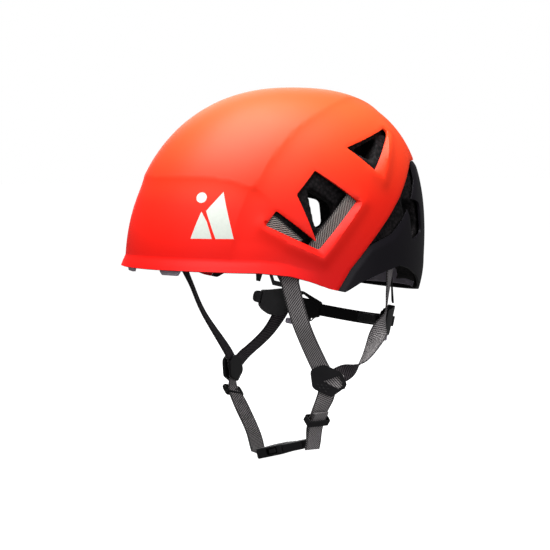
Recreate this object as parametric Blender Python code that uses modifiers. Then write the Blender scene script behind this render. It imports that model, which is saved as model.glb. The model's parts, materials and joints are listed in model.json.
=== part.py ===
"""Climbing helmet: two-piece shell, foam liner, folding fit cradle, webbing harness and buckle.

Metres. +X is the wearer's left, -Y the front and +Z up. The origin is the middle of the head
opening, level with the brim.
"""
import math

import bmesh
import bpy
from mathutils import Matrix, Vector

# ---- driving dimensions -------------------------------------------------------------------
SHELL = {"width": 0.1075, "front": 0.1470, "back": 0.1300, "height": 0.1505}
CAVITY = {"width": 0.0885, "front": 0.1190, "back": 0.1070, "height": 0.1240}
SIDE_POWER = {"width": 2.41, "front": 2.22, "back": 2.60}   # fullness of the dome's profiles
PLAN_POWER = 2.05                                           # fullness of its plan
CROWN_SHIFT = 0.0084          # the crown sits this far behind the middle of the opening
SKIN = 0.0022                 # shell thickness
FOAM_INSET = 0.0044           # shell's outside to foam's outside, with room for webbing
FOAM_LIFT = 0.0050            # foam's lower edge above the shell's
TAPER = 0.0080                # how far the back draws in at the tail
TAIL_DEPTH = 0.0310
FLARE = 0.0036                # brim's outward flare, over the last FLARE_HEIGHT
FLARE_HEIGHT = 0.0110
FLARE_END = -0.0300           # the flare ends here on the flank, fading over FLARE_FADE
FLARE_FADE = 0.0350
RING_SPREAD = 1.5             # gathers the dome's rings towards the rim
GAP = 0.0004                  # between touching pieces
HALF_SPACE = 0.1300           # beyond the shell on either side
FOAM_STEP = 0.0927            # the side vent's floor in the foam, from the middle
CROWN_Y = 0.0060              # crown puck and crown pad
PUCK_RADIUS = 0.0436
PAD_THICK = 0.0058
NAPE_PAD_WIDTH = 0.0340

WEB_WIDTH = 0.0150
WEB_THICK = 0.0014
# Webbing pockets in the foam's lower edge, as (name, x, y, turn from fore-and-aft).
POCKETS = [("front", 0.0905, -0.0515, math.radians(20)), ("rear", 0.0830, 0.0570, math.radians(-22))]
POCKET_TOP = 0.0180
CLIP_TOP = -0.0060            # rear clip's top, where the foam stops inside the tail
REAR_CLIP_FOOT = -0.0265
REAR_CLIP_INSET = 0.0052      # from the shell's outside
FRONT_CLIP = (0.0340, -0.1335, -0.0030)
FRONT_CLIP_TURN = math.radians(16)
CLIP_THICK = 0.0030
ARC_RADIUS = 0.0825           # fit band, about its own tilted axis
ARC_CENTRE = (0.0, 0.0145, -0.0386)
ARC_TILT = math.radians(-14)
BAND_HEIGHT = 0.0110
BAND_THICK = 0.0016
PIVOT_Y = 0.0180
PIVOT_Z = 0.0020
PIN_RADIUS = 0.0022
WING_SLIDE = {1: 0.0380, -1: 0.0}        # the left wing is set further round the band

BUCKLE_CENTRE = (0.0180, -0.0130, -0.1665)
BUCKLE_YAW = math.radians(27)
BUCKLE_PITCH = math.radians(-15)

# Height of the lower edge by distance behind the opening's middle: brim, ear lobe, arch, tail.
RIM = [(-0.150, -0.003), (-0.080, -0.005), (-0.057, -0.008), (-0.040, -0.013),
       (-0.021, -0.020), (-0.007, -0.023), (0.010, -0.015), (0.029, -0.009),
       (0.056, -0.003), (0.070, -0.006), (0.086, -0.013), (0.097, -0.021),
       (0.112, -0.028), (0.130, -0.031)]

# Side outlines, as (y, z).
SEAM = [(-0.018, -0.027), (-0.002, -0.004), (0.019, 0.017), (0.044, 0.041),
        (0.059, 0.056), (0.078, 0.077), (0.088, 0.0865)]
REAR_EDGE = [(0.019, 0.0155), (0.046, 0.024), (0.062, 0.036), (0.079, 0.053),
             (0.090, 0.070), (0.0905, 0.0855)]
UPPER_VENT = [(0.006, 0.098), (0.060, 0.115), (0.063, 0.111), (0.032, 0.078)]
MAIN_VENT = [(-0.029, 0.079), (0.008, 0.053), (-0.031, 0.013), (-0.053, 0.023),
             (-0.075, 0.034), (-0.066, 0.046), (-0.034, 0.020), (-0.048, 0.059)]
FOAM_WINDOW = [(-0.0360, 0.0655), (-0.0100, 0.0505), (-0.0075, 0.0425), (-0.0215, 0.0295),
               (-0.0275, 0.0310)]
FOAM_UPPER = [(0.014, 0.095), (0.050, 0.107), (0.034, 0.085)]
REAR_VENT = [(-0.009, 0.056), (0.018, 0.050), (0.020, 0.024), (-0.004, 0.017)]
REAR_VENT_TURN = math.radians(42)

COLOURS = {                   # name: (colour, roughness)
    "orange": ((0.86, 0.10, 0.02), 0.42),
    "black_shell": ((0.018, 0.018, 0.022), 0.50),
    "foam": ((0.020, 0.020, 0.022), 0.85),
    "webbing": ((0.15, 0.15, 0.15), 0.85),
    "fabric": ((0.030, 0.030, 0.034), 0.90),
    "plastic": ((0.012, 0.012, 0.014), 0.40),
    "clear": ((0.75, 0.74, 0.78), 0.15),
}

for old in list(bpy.data.objects):
    bpy.data.objects.remove(old, do_unlink=True)
PARTS = bpy.data.collections.new("climbing_helmet")
CUTTERS = bpy.data.collections.new("cutters")
bpy.context.scene.collection.children.link(PARTS)
bpy.context.scene.collection.children.link(CUTTERS)


# ---- tools --------------------------------------------------------------------------------
def finish(name, bm, finish_name=None):
    """Turn a bmesh into a part, or into a cutter when it has no finish."""
    bmesh.ops.recalc_face_normals(bm, faces=bm.faces)
    if bm.calc_volume(signed=True) < 0:
        bmesh.ops.reverse_faces(bm, faces=bm.faces)
    mesh = bpy.data.meshes.new(name)
    bm.to_mesh(mesh)
    bm.free()
    obj = bpy.data.objects.new(name, mesh)
    if finish_name is None:
        CUTTERS.objects.link(obj)
        obj.hide_render = True
        obj.display_type = "WIRE"
        return obj
    PARTS.objects.link(obj)
    colour, roughness = COLOURS[finish_name]
    material = bpy.data.materials.new(name)
    material.use_nodes = True
    shader = material.node_tree.nodes["Principled BSDF"]
    shader.inputs["Base Color"].default_value = (*colour, 1)
    shader.inputs["Roughness"].default_value = roughness
    mesh.materials.append(material)
    mesh.shade_smooth()
    mesh.set_sharp_from_angle(angle=math.radians(35))
    return obj


def boolean(obj, cutter, operation="DIFFERENCE"):
    """Combine obj with a cutter, and keep the result in its mesh."""
    step = obj.modifiers.new(operation.lower(), "BOOLEAN")
    step.object = cutter
    step.operation = operation
    apply_modifiers(obj)
    bm = bmesh.new()
    bm.from_mesh(obj.data)
    bmesh.ops.dissolve_degenerate(bm, edges=bm.edges, dist=5e-6)
    bm.to_mesh(obj.data)
    bm.free()


def apply_modifiers(obj):
    """Keep what the object's modifiers make."""
    graph = bpy.context.evaluated_depsgraph_get()
    mesh = bpy.data.meshes.new_from_object(obj.evaluated_get(graph))
    obj.modifiers.clear()
    obj.data = mesh


def solidify(obj, thickness):
    """Give an open surface a thickness, on its inner side."""
    step = obj.modifiers.new("thickness", "SOLIDIFY")
    step.thickness = thickness
    step.offset = -1
    apply_modifiers(obj)


def rounded(outline, radius, steps=3):
    """Replace each corner of a closed outline by an arc."""
    points = [Vector((*p, 0)) for p in outline]
    result = []
    for i, corner in enumerate(points):
        back = points[i - 1] - corner
        ahead = points[(i + 1) % len(points)] - corner
        reach_back = min(radius, back.length * 0.45)
        reach_ahead = min(radius, ahead.length * 0.45)
        start = corner + back.normalized() * reach_back
        end = corner + ahead.normalized() * reach_ahead
        for k in range(steps + 1):
            t = k / steps
            point = start * (1 - t) ** 2 + corner * 2 * t * (1 - t) + end * t ** 2
            result.append((point.x, point.y))
    return result


def circle(x, y, radius, sides=12):
    """A round outline."""
    turns = [2 * math.pi * k / sides for k in range(sides)]
    return [(x + radius * math.cos(a), y + radius * math.sin(a)) for a in turns]


def plate(outline, thickness, holes=()):
    """A bmesh of a flat outline with holes, in XY, half its thickness each side of z = 0."""
    curve = bpy.data.curves.new("outline", "CURVE")
    curve.dimensions = "2D"
    curve.fill_mode = "BOTH"
    curve.extrude = thickness / 2
    for points in [outline, *holes]:
        spline = curve.splines.new("POLY")
        spline.points.add(len(points) - 1)
        for point, (x, y) in zip(spline.points, points):
            point.co = (x, y, 0, 1)
        spline.use_cyclic_u = True
    holder = bpy.data.objects.new("outline", curve)
    CUTTERS.objects.link(holder)
    graph = bpy.context.evaluated_depsgraph_get()
    mesh = bpy.data.meshes.new_from_object(holder.evaluated_get(graph))
    bm = bmesh.new()
    bm.from_mesh(mesh)
    bmesh.ops.remove_doubles(bm, verts=bm.verts, dist=1e-6)
    bpy.data.objects.remove(holder, do_unlink=True)
    return bm


def side_prism(name, outline, inner_x, outer_x, side=1):
    """A cutter with a (y, z) outline, from inner_x to outer_x on one side."""
    bm = plate(outline, outer_x - inner_x)
    middle = side * (inner_x + outer_x) / 2
    place = Matrix(((0, 0, 1, middle), (1, 0, 0, 0), (0, 1, 0, 0), (0, 0, 0, 1)))
    bm.transform(place)
    return finish(name, bm)


def box(low, high, bevel=0.0, segments=2):
    """A bmesh box between two corners, its edges rounded."""
    bm = bmesh.new()
    size = Vector(high) - Vector(low)
    place = Matrix.Translation((Vector(low) + Vector(high)) / 2) @ Matrix.Diagonal((*size, 1))
    bmesh.ops.create_cube(bm, size=1, matrix=place)
    if bevel:
        bmesh.ops.bevel(bm, geom=bm.edges[:], offset=bevel, segments=segments, profile=0.5,
                        affect="EDGES")
    return bm


def rod(start, end, radius, sides=16):
    """A bmesh cylinder between two points."""
    start, end = Vector(start), Vector(end)
    axis = end - start
    place = Matrix.Translation((start + end) / 2) @ axis.to_track_quat("Z", "Y").to_matrix().to_4x4()
    bm = bmesh.new()
    bmesh.ops.create_cone(bm, cap_ends=True, segments=sides, radius1=radius, radius2=radius,
                          depth=axis.length, matrix=place)
    return bm


def turned(name, profile, finish_name, steps=32):
    """A solid of revolution about Z, from a profile that runs top to bottom on its outer side."""
    bm = bmesh.new()
    verts = [bm.verts.new((r, 0, z)) for r, z in profile]
    for first, second in zip(verts, verts[1:]):
        bm.edges.new((first, second))
    obj = finish(name, bm, finish_name)
    step = obj.modifiers.new("turn", "SCREW")
    step.steps = steps
    step.render_steps = steps
    step.use_merge_vertices = True
    step.merge_threshold = 1e-5
    apply_modifiers(obj)
    obj.data.shade_smooth()
    obj.data.set_sharp_from_angle(angle=math.radians(35))
    return obj


def smooth(points, per_span=4):
    """A smooth line through the points (Catmull-Rom)."""
    points = [Vector(p) for p in points]
    ends = [2 * points[0] - points[1], *points, 2 * points[-1] - points[-2]]
    line = []
    for a, b, c, d in zip(ends, ends[1:], ends[2:], ends[3:]):
        for k in range(per_span):
            t = k / per_span
            line.append(0.5 * (2 * b + (c - a) * t + (2 * a - 5 * b + 4 * c - d) * t ** 2
                               + (3 * b - a - 3 * c + d) * t ** 3))
    return line + [points[-1]]


def ribbon(name, route, across, width=WEB_WIDTH, thickness=WEB_THICK, per_span=3,
           finish_name="webbing"):
    """Flat webbing along a route, its width direction turning from station to station."""
    line = smooth(route, per_span)
    widths = smooth(across, per_span)
    bm = bmesh.new()
    rings = []
    for i, point in enumerate(line):
        along = (line[min(i + 1, len(line) - 1)] - line[max(i - 1, 0)]).normalized()
        side = (widths[i] - along * widths[i].dot(along)).normalized()
        up = along.cross(side)
        corners = [(-1, -1), (1, -1), (1, 1), (-1, 1)]
        rings.append([bm.verts.new(point + side * width / 2 * a + up * thickness / 2 * b)
                      for a, b in corners])
    for ring, following in zip(rings, rings[1:]):
        for k in range(4):
            bm.faces.new((ring[k], ring[(k + 1) % 4], following[(k + 1) % 4], following[k]))
    bm.faces.new(rings[0])
    bm.faces.new(rings[-1])
    return finish(name, bm, finish_name)


# ---- the dome -----------------------------------------------------------------------------
def blend_between(points, x):
    """Value at x on the broken line through (x, value) points."""
    if x <= points[0][0]:
        return points[0][1]
    for (x0, v0), (x1, v1) in zip(points, points[1:]):
        if x <= x1:
            return v0 + (v1 - v0) * (x - x0) / (x1 - x0)
    return points[-1][1]


def reach(dome, key, z):
    """Half width, front or back reach of a dome at height z."""
    lift = min(max(z / dome["height"], 0), 1)
    full = dome[key] * (1 - lift ** SIDE_POWER[key]) ** (1 / SIDE_POWER[key])
    if key == "back" and z < 0:
        full -= TAPER * (z / TAIL_DEPTH) ** 2
    return full


def dome_point(dome, turn, z, flare=0.0):
    """Point of a dome at a turn from the wearer's left towards the back, and height z."""
    c, s = math.cos(turn), math.sin(turn)
    power = 2 / PLAN_POWER
    x = (reach(dome, "width", z) + flare) * math.copysign(abs(c) ** power, c)
    depth = reach(dome, "back" if s > 0 else "front", z) + flare
    y = depth * math.copysign(abs(s) ** power, s) + CROWN_SHIFT * max(z, 0) / dome["height"]
    return Vector((x, y, z))


def grown(dome, amount):
    """The same dome, larger or smaller all round."""
    return {key: value + amount for key, value in dome.items()}


def dome_bowl(dome, lift, flared, segments, rings):
    """An open bmesh bowl: a half sphere drawn over the dome, its edge on the rim."""
    bm = bmesh.new()
    bmesh.ops.create_uvsphere(bm, u_segments=segments, v_segments=2 * rings, radius=1)
    low = [v for v in bm.verts if v.co.z < -1e-4]
    bmesh.ops.delete(bm, geom=low, context="VERTS")
    for vert in bm.verts:
        turn = math.atan2(vert.co.y, vert.co.x)
        height = min(max(vert.co.z, 0), 1) ** RING_SPREAD
        rim = blend_between(RIM, dome_point(SHELL, turn, 0).y) + lift
        z = rim + (dome["height"] - rim) * height
        flare = 0.0
        if flared:
            fade = min(max((FLARE_END - dome_point(SHELL, turn, 0).y) / FLARE_FADE, 0), 1)
            flare = FLARE * fade * max(1 - (z - rim) / FLARE_HEIGHT, 0) ** 1.5
        vert.co = dome_point(dome, turn, z, flare)
    return bm


def dome_patch(name, dome, turns, heights, thickness, columns, rows, finish_name):
    """A pad lying inside a dome between two turns (degrees) and two heights."""
    bm = bmesh.new()
    bmesh.ops.create_grid(bm, x_segments=columns, y_segments=rows, size=0.5)
    for vert in bm.verts:
        u, v = vert.co.x + 0.5, vert.co.y + 0.5
        turn = math.radians(turns[0] + (turns[1] - turns[0]) * u)
        vert.co = dome_point(dome, turn, heights[0] + (heights[1] - heights[0]) * v)
    obj = finish(name, bm, finish_name)
    outward = obj.data.polygons[0].normal.dot(obj.data.polygons[0].center)
    if outward < 0:
        obj.data.flip_normals()
    solidify(obj, thickness)
    return obj


# ---- shells and foam ----------------------------------------------------------------------
def build_shells():
    """Upper and rear shell, parted along the seam, with their vents."""
    behind = SEAM + [(0.160, 0.0885), (0.160, -0.060), (-0.018, -0.060)]
    lower = [(y + 1.4 * GAP, z - 0.4 * GAP) for y, z in SEAM[:2]]
    rear = lower + REAR_EDGE + [(0.160, 0.0881), (0.160, -0.060), (-0.018 + GAP, -0.060)]
    for name, outline, operation, colour in (
            ("upper_shell", behind, "DIFFERENCE", "orange"),
            ("rear_shell", rear, "INTERSECT", "black_shell")):
        obj = finish(name, dome_bowl(SHELL, 0.0, True, 48, 12), colour)
        solidify(obj, SKIN)
        boolean(obj, side_prism(name + "_seam", outline, -HALF_SPACE, HALF_SPACE), operation)
        for side, label in ((1, "left"), (-1, "right")):
            if name == "upper_shell":
                for vent, outline_points in (("main", MAIN_VENT), ("upper", UPPER_VENT)):
                    cutter = side_prism(f"shell_{vent}_{label}", rounded(outline_points, 0.0015, 2),
                                        0.050, HALF_SPACE, side)
                    boolean(obj, cutter)
            else:
                boolean(obj, rear_vent_cutter(f"shell_rear_{label}", side, 1.0))
        obj.data.shade_smooth()
        obj.data.set_sharp_from_angle(angle=math.radians(35))


def rear_vent_cutter(name, side, scale):
    """A slanting cutter through the back quarter of shell or foam."""
    outline = [(u * scale, 0.036 + (z - 0.036) * scale) for u, z in REAR_VENT]
    cutter = side_prism(name, rounded(outline, 0.004, 3), 0.070, 0.150)
    turn = Matrix.Rotation(REAR_VENT_TURN, 4, "Z")
    mirror = Matrix.Diagonal((side, 1, 1, 1))
    cutter.data.transform(mirror @ turn)
    if side < 0:
        cutter.data.flip_normals()
    return cutter


def pocket_frame(side, x, y, turn):
    """Frame of a webbing pocket: X outwards and Y along the webbing's width."""
    return Matrix.Translation((side * x, y, 0)) @ Matrix.Rotation(-side * turn, 4, "Z")


def build_foam():
    """The foam liner: a thick bowl with vents, a crown recess and pockets for the webbing."""
    outer = dome_bowl(grown(SHELL, -FOAM_INSET), FOAM_LIFT, False, 40, 10)
    inner = dome_bowl(CAVITY, FOAM_LIFT + 0.004, False, 40, 10)
    mesh = bpy.data.meshes.new("inner")
    inner.to_mesh(mesh)
    outer.from_mesh(mesh)
    inner.free()
    edges = [edge for edge in outer.edges if edge.is_boundary]
    bmesh.ops.bridge_loops(outer, edges=edges)
    bmesh.ops.triangulate(outer, faces=outer.faces)
    foam = finish("foam_liner", outer, "foam")
    for side, label in ((1, "left"), (-1, "right")):
        pin = rod((side * 0.075, PIVOT_Y, PIVOT_Z), (side * 0.0975, PIVOT_Y, PIVOT_Z), PIN_RADIUS + GAP)
        boolean(foam, finish(f"pin_hole_{label}", pin))
        for which, x, y, turn in POCKETS:
            pocket = box((-0.0033, -0.0083, -0.040), (0.0033, 0.0083, POCKET_TOP))
            pocket.transform(pocket_frame(side, x, y, turn))
            boolean(foam, finish(f"pocket_{which}_{label}", pocket))
        for cut, outline, radius, inner_x, outer_x in (
                ("recess", MAIN_VENT, 0.0015, FOAM_STEP, HALF_SPACE),
                ("window", FOAM_WINDOW, 0.003, 0.050, FOAM_STEP + 0.0016),
                ("upper", FOAM_UPPER, 0.004, 0.040, HALF_SPACE)):
            cutter = side_prism(f"foam_{cut}_{label}", rounded(outline, radius, 2), inner_x, outer_x, side)
            boolean(foam, cutter)
        boolean(foam, rear_vent_cutter(f"foam_rear_{label}", side, 0.9))
    boolean(foam, finish("tail_recess", box((-0.054, 0.094, -0.060), (0.054, 0.150, CLIP_TOP + GAP))))
    recess = rod((0, CROWN_Y, 0.090), (0, CROWN_Y, 0.1375), PUCK_RADIUS + GAP, 32)
    boolean(foam, finish("crown_recess", recess))
    foam.data.shade_smooth()
    foam.data.set_sharp_from_angle(angle=math.radians(35))

    profile = [(0.0, 0.1371), (PUCK_RADIUS, 0.1371), (PUCK_RADIUS, 0.1150), (0.030, 0.1190),
               (0.015, 0.1212), (0.0, 0.1220)]
    puck = turned("crown_puck", profile, "foam")
    puck.location.y = CROWN_Y


def build_pads():
    """Comfort pads inside the foam, as plain solids."""
    inside = grown(CAVITY, -2 * GAP)
    dome_patch("brow_pad", inside, (-140, -40), (0.006, 0.030), PAD_THICK, 16, 3, "fabric")
    dome_patch("side_pad_left", inside, (2, 27), (0.018, 0.044), PAD_THICK, 6, 3, "fabric")
    dome_patch("side_pad_right", inside, (153, 178), (0.018, 0.044), PAD_THICK, 6, 3, "fabric")
    profile = [(0.0, 0.1206), (0.016, 0.1198), (0.030, 0.1172), (0.0325, 0.1145), (0.030, 0.1112),
               (0.016, 0.1138), (0.0, 0.1145)]
    pad = turned("crown_pad", profile, "fabric", 24)
    pad.location.y = CROWN_Y


def build_clips():
    """Clear headlamp clips: two under the brim and one inside the tail."""
    for side, label in ((1, "left"), (-1, "right")):
        outline = [(-0.011, 0.004), (0.011, 0.004), (0.011, -0.0028), (0.0085, -0.0055),
                   (-0.0085, -0.0055), (-0.011, -0.0028)]
        body = plate(outline, CLIP_THICK)
        centre = (side * FRONT_CLIP[0], FRONT_CLIP[1], FRONT_CLIP[2])
        place = Matrix.Translation(centre) @ Matrix.Rotation(side * FRONT_CLIP_TURN, 4, "Z")
        body.transform(place @ Matrix.Rotation(math.radians(90), 4, "X"))
        finish(f"front_clip_{label}", body, "clear")
    dome_patch("rear_clip", grown(SHELL, -REAR_CLIP_INSET), (62, 118),
               (REAR_CLIP_FOOT, CLIP_TOP - GAP), 0.0016, 12, 3, "clear")


# ---- fit cradle ---------------------------------------------------------------------------
CRADLE = Matrix.Translation(ARC_CENTRE) @ Matrix.Rotation(ARC_TILT, 4, "X")


def wrap(name, outline, thickness, radius, holes=(), side=1, finish_name="plastic", slide=0.0):
    """A flat outline of (arc length, height) wrapped round the band's arc, from the side."""
    bm = plate(outline, thickness, holes)
    bm.transform(Matrix.Translation((slide, 0, 0)))
    step = 0.009
    lows = [v.co.x for v in bm.verts]
    cut = math.floor(min(lows) / step) + 1
    while cut * step < max(lows):
        geometry = bm.verts[:] + bm.edges[:] + bm.faces[:]
        bmesh.ops.bisect_plane(bm, geom=geometry, plane_co=(cut * step, 0, 0), plane_no=(1, 0, 0))
        cut += 1
    for vert in bm.verts:
        angle = vert.co.x / ARC_RADIUS
        r = radius + vert.co.z
        vert.co = CRADLE @ Vector((side * r * math.cos(angle), r * math.sin(angle), vert.co.y))
    return finish(name, bm, finish_name)


# The left arm stands on its wing and runs forwards inside the rim to the pivot, as (x, y, z).
LEFT_ARM = [(0.0500, 0.0825, -0.0390), (0.0530, 0.0790, -0.0200), (0.0570, 0.0730, -0.0020),
            (0.0690, 0.0570, 0.0050), (0.0790, 0.0370, 0.0040), (0.0822, 0.0190, 0.0020),
            (0.0824, 0.0120, 0.0020)]
LEFT_ARM_ACROSS = [(-0.82, 0.50, 0.15), (-0.78, 0.60, 0.10), (-0.5, 0.6, 0.6), (0, 0.1, 1),
                   (0, 0, 1), (0, 0, 1), (0, 0, 1)]


def build_cradle():
    """Nape band, and on each side a wing that rides on it, a truss arm, a guide and a pawl."""
    half_turn = math.pi * ARC_RADIUS
    start, left_start = 0.004, 0.004 + WING_SLIDE[1]
    h = BAND_HEIGHT / 2
    ends = rounded([(left_start, -h), (half_turn - start, -h), (half_turn - start, h),
                    (left_start, h)], 0.0045, 3)
    wrap("nape_band", ends, BAND_THICK, ARC_RADIUS)
    middle = half_turn / 2
    w = NAPE_PAD_WIDTH / 2
    pad = rounded([(middle - w, -h), (middle + w, -h), (middle + w, h), (middle - w, h)], 0.004, 3)
    wrap("nape_pad", pad, 0.0040, ARC_RADIUS - BAND_THICK / 2 - 0.0020 - GAP, finish_name="fabric")

    wing = [(0.012, -0.0072), (0.016, -0.0110), (0.023, -0.0140), (0.032, -0.0140),
            (0.039, -0.0090), (0.052, -0.0080), (0.056, -0.0125), (0.063, -0.0125),
            (0.066, -0.0080), (0.070, -0.0070), (0.070, 0.0072), (0.062, 0.0100),
            (0.051, 0.0140), (0.043, 0.0130), (0.038, 0.0095), (0.032, 0.0130),
            (0.018, 0.0085), (0.012, 0.0072)]
    wing_holes = [rounded([(0.049, 0.0080), (0.058, 0.0078), (0.051, 0.0115)], 0.001, 2),
                  circle(0.0635, -0.0100, 0.0011, 8)]
    arm = [(0.004, 0.0140), (0.0075, 0.0140), (0.0085, 0.0230), (0.0130, 0.0270),
           (0.0210, 0.0135), (0.0360, 0.0135), (0.0220, 0.0300), (0.0100, 0.0420),
           (0.0095, 0.0475), (-0.0020, 0.0475), (-0.0025, 0.0380)]
    arm_holes = [[(0.0035, 0.0290), (0.0100, 0.0290), (0.0045, 0.0355)],
                 [(0.0150, 0.0290), (0.0215, 0.0180), (0.0275, 0.0180), (0.0185, 0.0285)]]
    for side, label in ((1, "left"), (-1, "right")):
        slide = WING_SLIDE[side]
        body = wrap(f"wing_{label}", rounded(wing, 0.0015, 2), 0.0056, ARC_RADIUS + 0.0006,
                    wing_holes, side, slide=slide)
        slot = [(-0.010, -h - 0.0005), (0.090, -h - 0.0005), (0.090, h + 0.0005),
                (-0.010, h + 0.0005)]
        channel = wrap(f"channel_{label}", slot, BAND_THICK + 0.0010, ARC_RADIUS, (), side, None,
                       slide)
        boolean(body, channel)
        if side > 0:
            arm_body = ribbon(f"cradle_arm_{label}", LEFT_ARM, LEFT_ARM_ACROSS, 0.0080, 0.0018, 4,
                              "plastic")
        else:
            arm_body = wrap(f"cradle_arm_{label}", arm, 0.0018, ARC_RADIUS, arm_holes, side)
        boolean(arm_body, finish(f"arm_hole_{label}", rod(
            (side * 0.070, PIVOT_Y, PIVOT_Z), (side * 0.090, PIVOT_Y, PIVOT_Z), PIN_RADIUS + GAP)))
        pin = rod((side * 0.0785, PIVOT_Y, PIVOT_Z), (side * 0.0970, PIVOT_Y, PIVOT_Z), PIN_RADIUS)
        head = finish(f"pin_head_{label}", rod((side * 0.0770, PIVOT_Y, PIVOT_Z),
                                               (side * 0.0792, PIVOT_Y, PIVOT_Z), 0.0045))
        boolean(finish(f"cradle_pin_{label}", pin, "plastic"), head, "UNION")
        guide = rounded([(0.0400, -0.0185), (0.0600, -0.0185), (0.0600, -0.0132), (0.0400, -0.0132)],
                        0.0015, 2)
        wrap(f"strap_guide_{label}", guide, 0.0020, ARC_RADIUS + 0.0010, (), side, "clear", slide)
        pawl = rounded([(0.0480, -0.0045), (0.0620, -0.0045), (0.0620, 0.0045), (0.0480, 0.0045)],
                       0.0015, 2)
        wrap(f"ratchet_pawl_{label}", pawl, 0.0016, ARC_RADIUS + 0.0048, (), side, slide=slide)


# ---- webbing harness ----------------------------------------------------------------------
def side_point(side, y, z, inset):
    """Point on the flank of the shell, below its surface, at a given y and z."""
    dome = grown(SHELL, -inset)
    shifted = y - CROWN_SHIFT * max(z, 0) / dome["height"]
    depth = reach(dome, "back" if shifted > 0 else "front", z)
    width = reach(dome, "width", z)
    x = width * (1 - abs(shifted / depth) ** PLAN_POWER) ** (1 / PLAN_POWER)
    return Vector((side * x, y, z))


def build_side_webbing():
    """Webbing between shell and foam, crossing the side vents, and the anchors in the foam."""
    inset = (SKIN + FOAM_INSET) / 2
    routes = {"front": [(-0.090, 0.053), (-0.074, 0.039), (-0.061, 0.027), (-0.049, 0.016)],
              "rear": [(0.022, 0.072), (0.004, 0.053), (-0.015, 0.033), (-0.034, 0.012)]}
    for side, label in ((1, "left"), (-1, "right")):
        for which, route in routes.items():
            points = [side_point(side, y, z, inset) for y, z in route]
            across = []
            for i, (y, z) in enumerate(route):
                along = points[min(i + 1, 3)] - points[max(i - 1, 0)]
                rise = side_point(side, y, z + 0.002, inset) - points[i]
                run = side_point(side, y + 0.002, z, inset) - points[i]
                across.append(along.cross(run.cross(rise)).normalized())
            ribbon(f"side_webbing_{which}_{label}", points, across, WEB_WIDTH, 0.0010)
        for which, x, y, turn in POCKETS:
            low, high = (-0.0028, -0.0075, POCKET_TOP - 0.0074), (0.0028, 0.0075, POCKET_TOP - GAP)
            anchor = box(low, high, 0.0005, 1)
            anchor.transform(pocket_frame(side, x, y, turn))
            finish(f"strap_anchor_{which}_{label}", anchor, "plastic")


ADJUSTER = {1: Vector((0.0765, -0.0030, -0.1000)), -1: Vector((-0.0765, -0.0070, -0.1045))}
ADJUSTER_TURN = math.radians(36)         # its plates face outwards and forwards
PENTAGON = [(-0.0160, 0.0085), (-0.0045, 0.0135), (0.0110, 0.0065), (0.0160, -0.0045),
            (0.0025, -0.0145), (-0.0140, -0.0070)]
WINDOW = [(-0.0050, -0.0010), (0.0090, 0.0040), (0.0120, -0.0045), (0.0085, -0.0075)]


def adjuster_frame(side):
    """Frame of a strap adjuster: X to its rear end, Y up and Z away from the face."""
    c, s = math.cos(ADJUSTER_TURN), math.sin(ADJUSTER_TURN)
    return Matrix.Translation(ADJUSTER[side]) @ Matrix(
        ((side * s, 0, side * c, 0), (c, 0, -s, 0), (0, 1, 0, 0), (0, 0, 0, 1)))


def turned_across(side, degrees, rise=0.0):
    """A strap's width direction, turned from fore-and-aft."""
    turn = math.radians(degrees)
    return Vector((side * math.sin(turn), math.cos(turn), rise))


REAR_ROUTES = {
    1: [(0.0815, 0.0570, -0.0060), (0.0775, 0.0575, -0.0260), (0.0760, 0.0560, -0.0460),
        (0.0815, 0.0440, -0.0640), (0.0930, 0.0210, -0.0840)],
    -1: [(-0.0830, 0.0570, -0.0060), (-0.0845, 0.0620, -0.0240), (-0.0865, 0.0560, -0.0480),
         (-0.0870, 0.0380, -0.0740), (-0.0930, 0.0170, -0.0940)]}
FRONT_TURNS = {1: (20, 24, 32, 38), -1: (20, 36, 48, 46)}
REAR_TURNS = {1: [(-22, 0.0), (-34, 0.0), (-46, 0.0), (-50, 0.0), (10, 0.3), (70, 0.6)],
              -1: [(-22, 0.0), (-24, 0.0), (-26, 0.0), (-10, -0.2), (20, -0.6), (36, -0.9)]}


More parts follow.
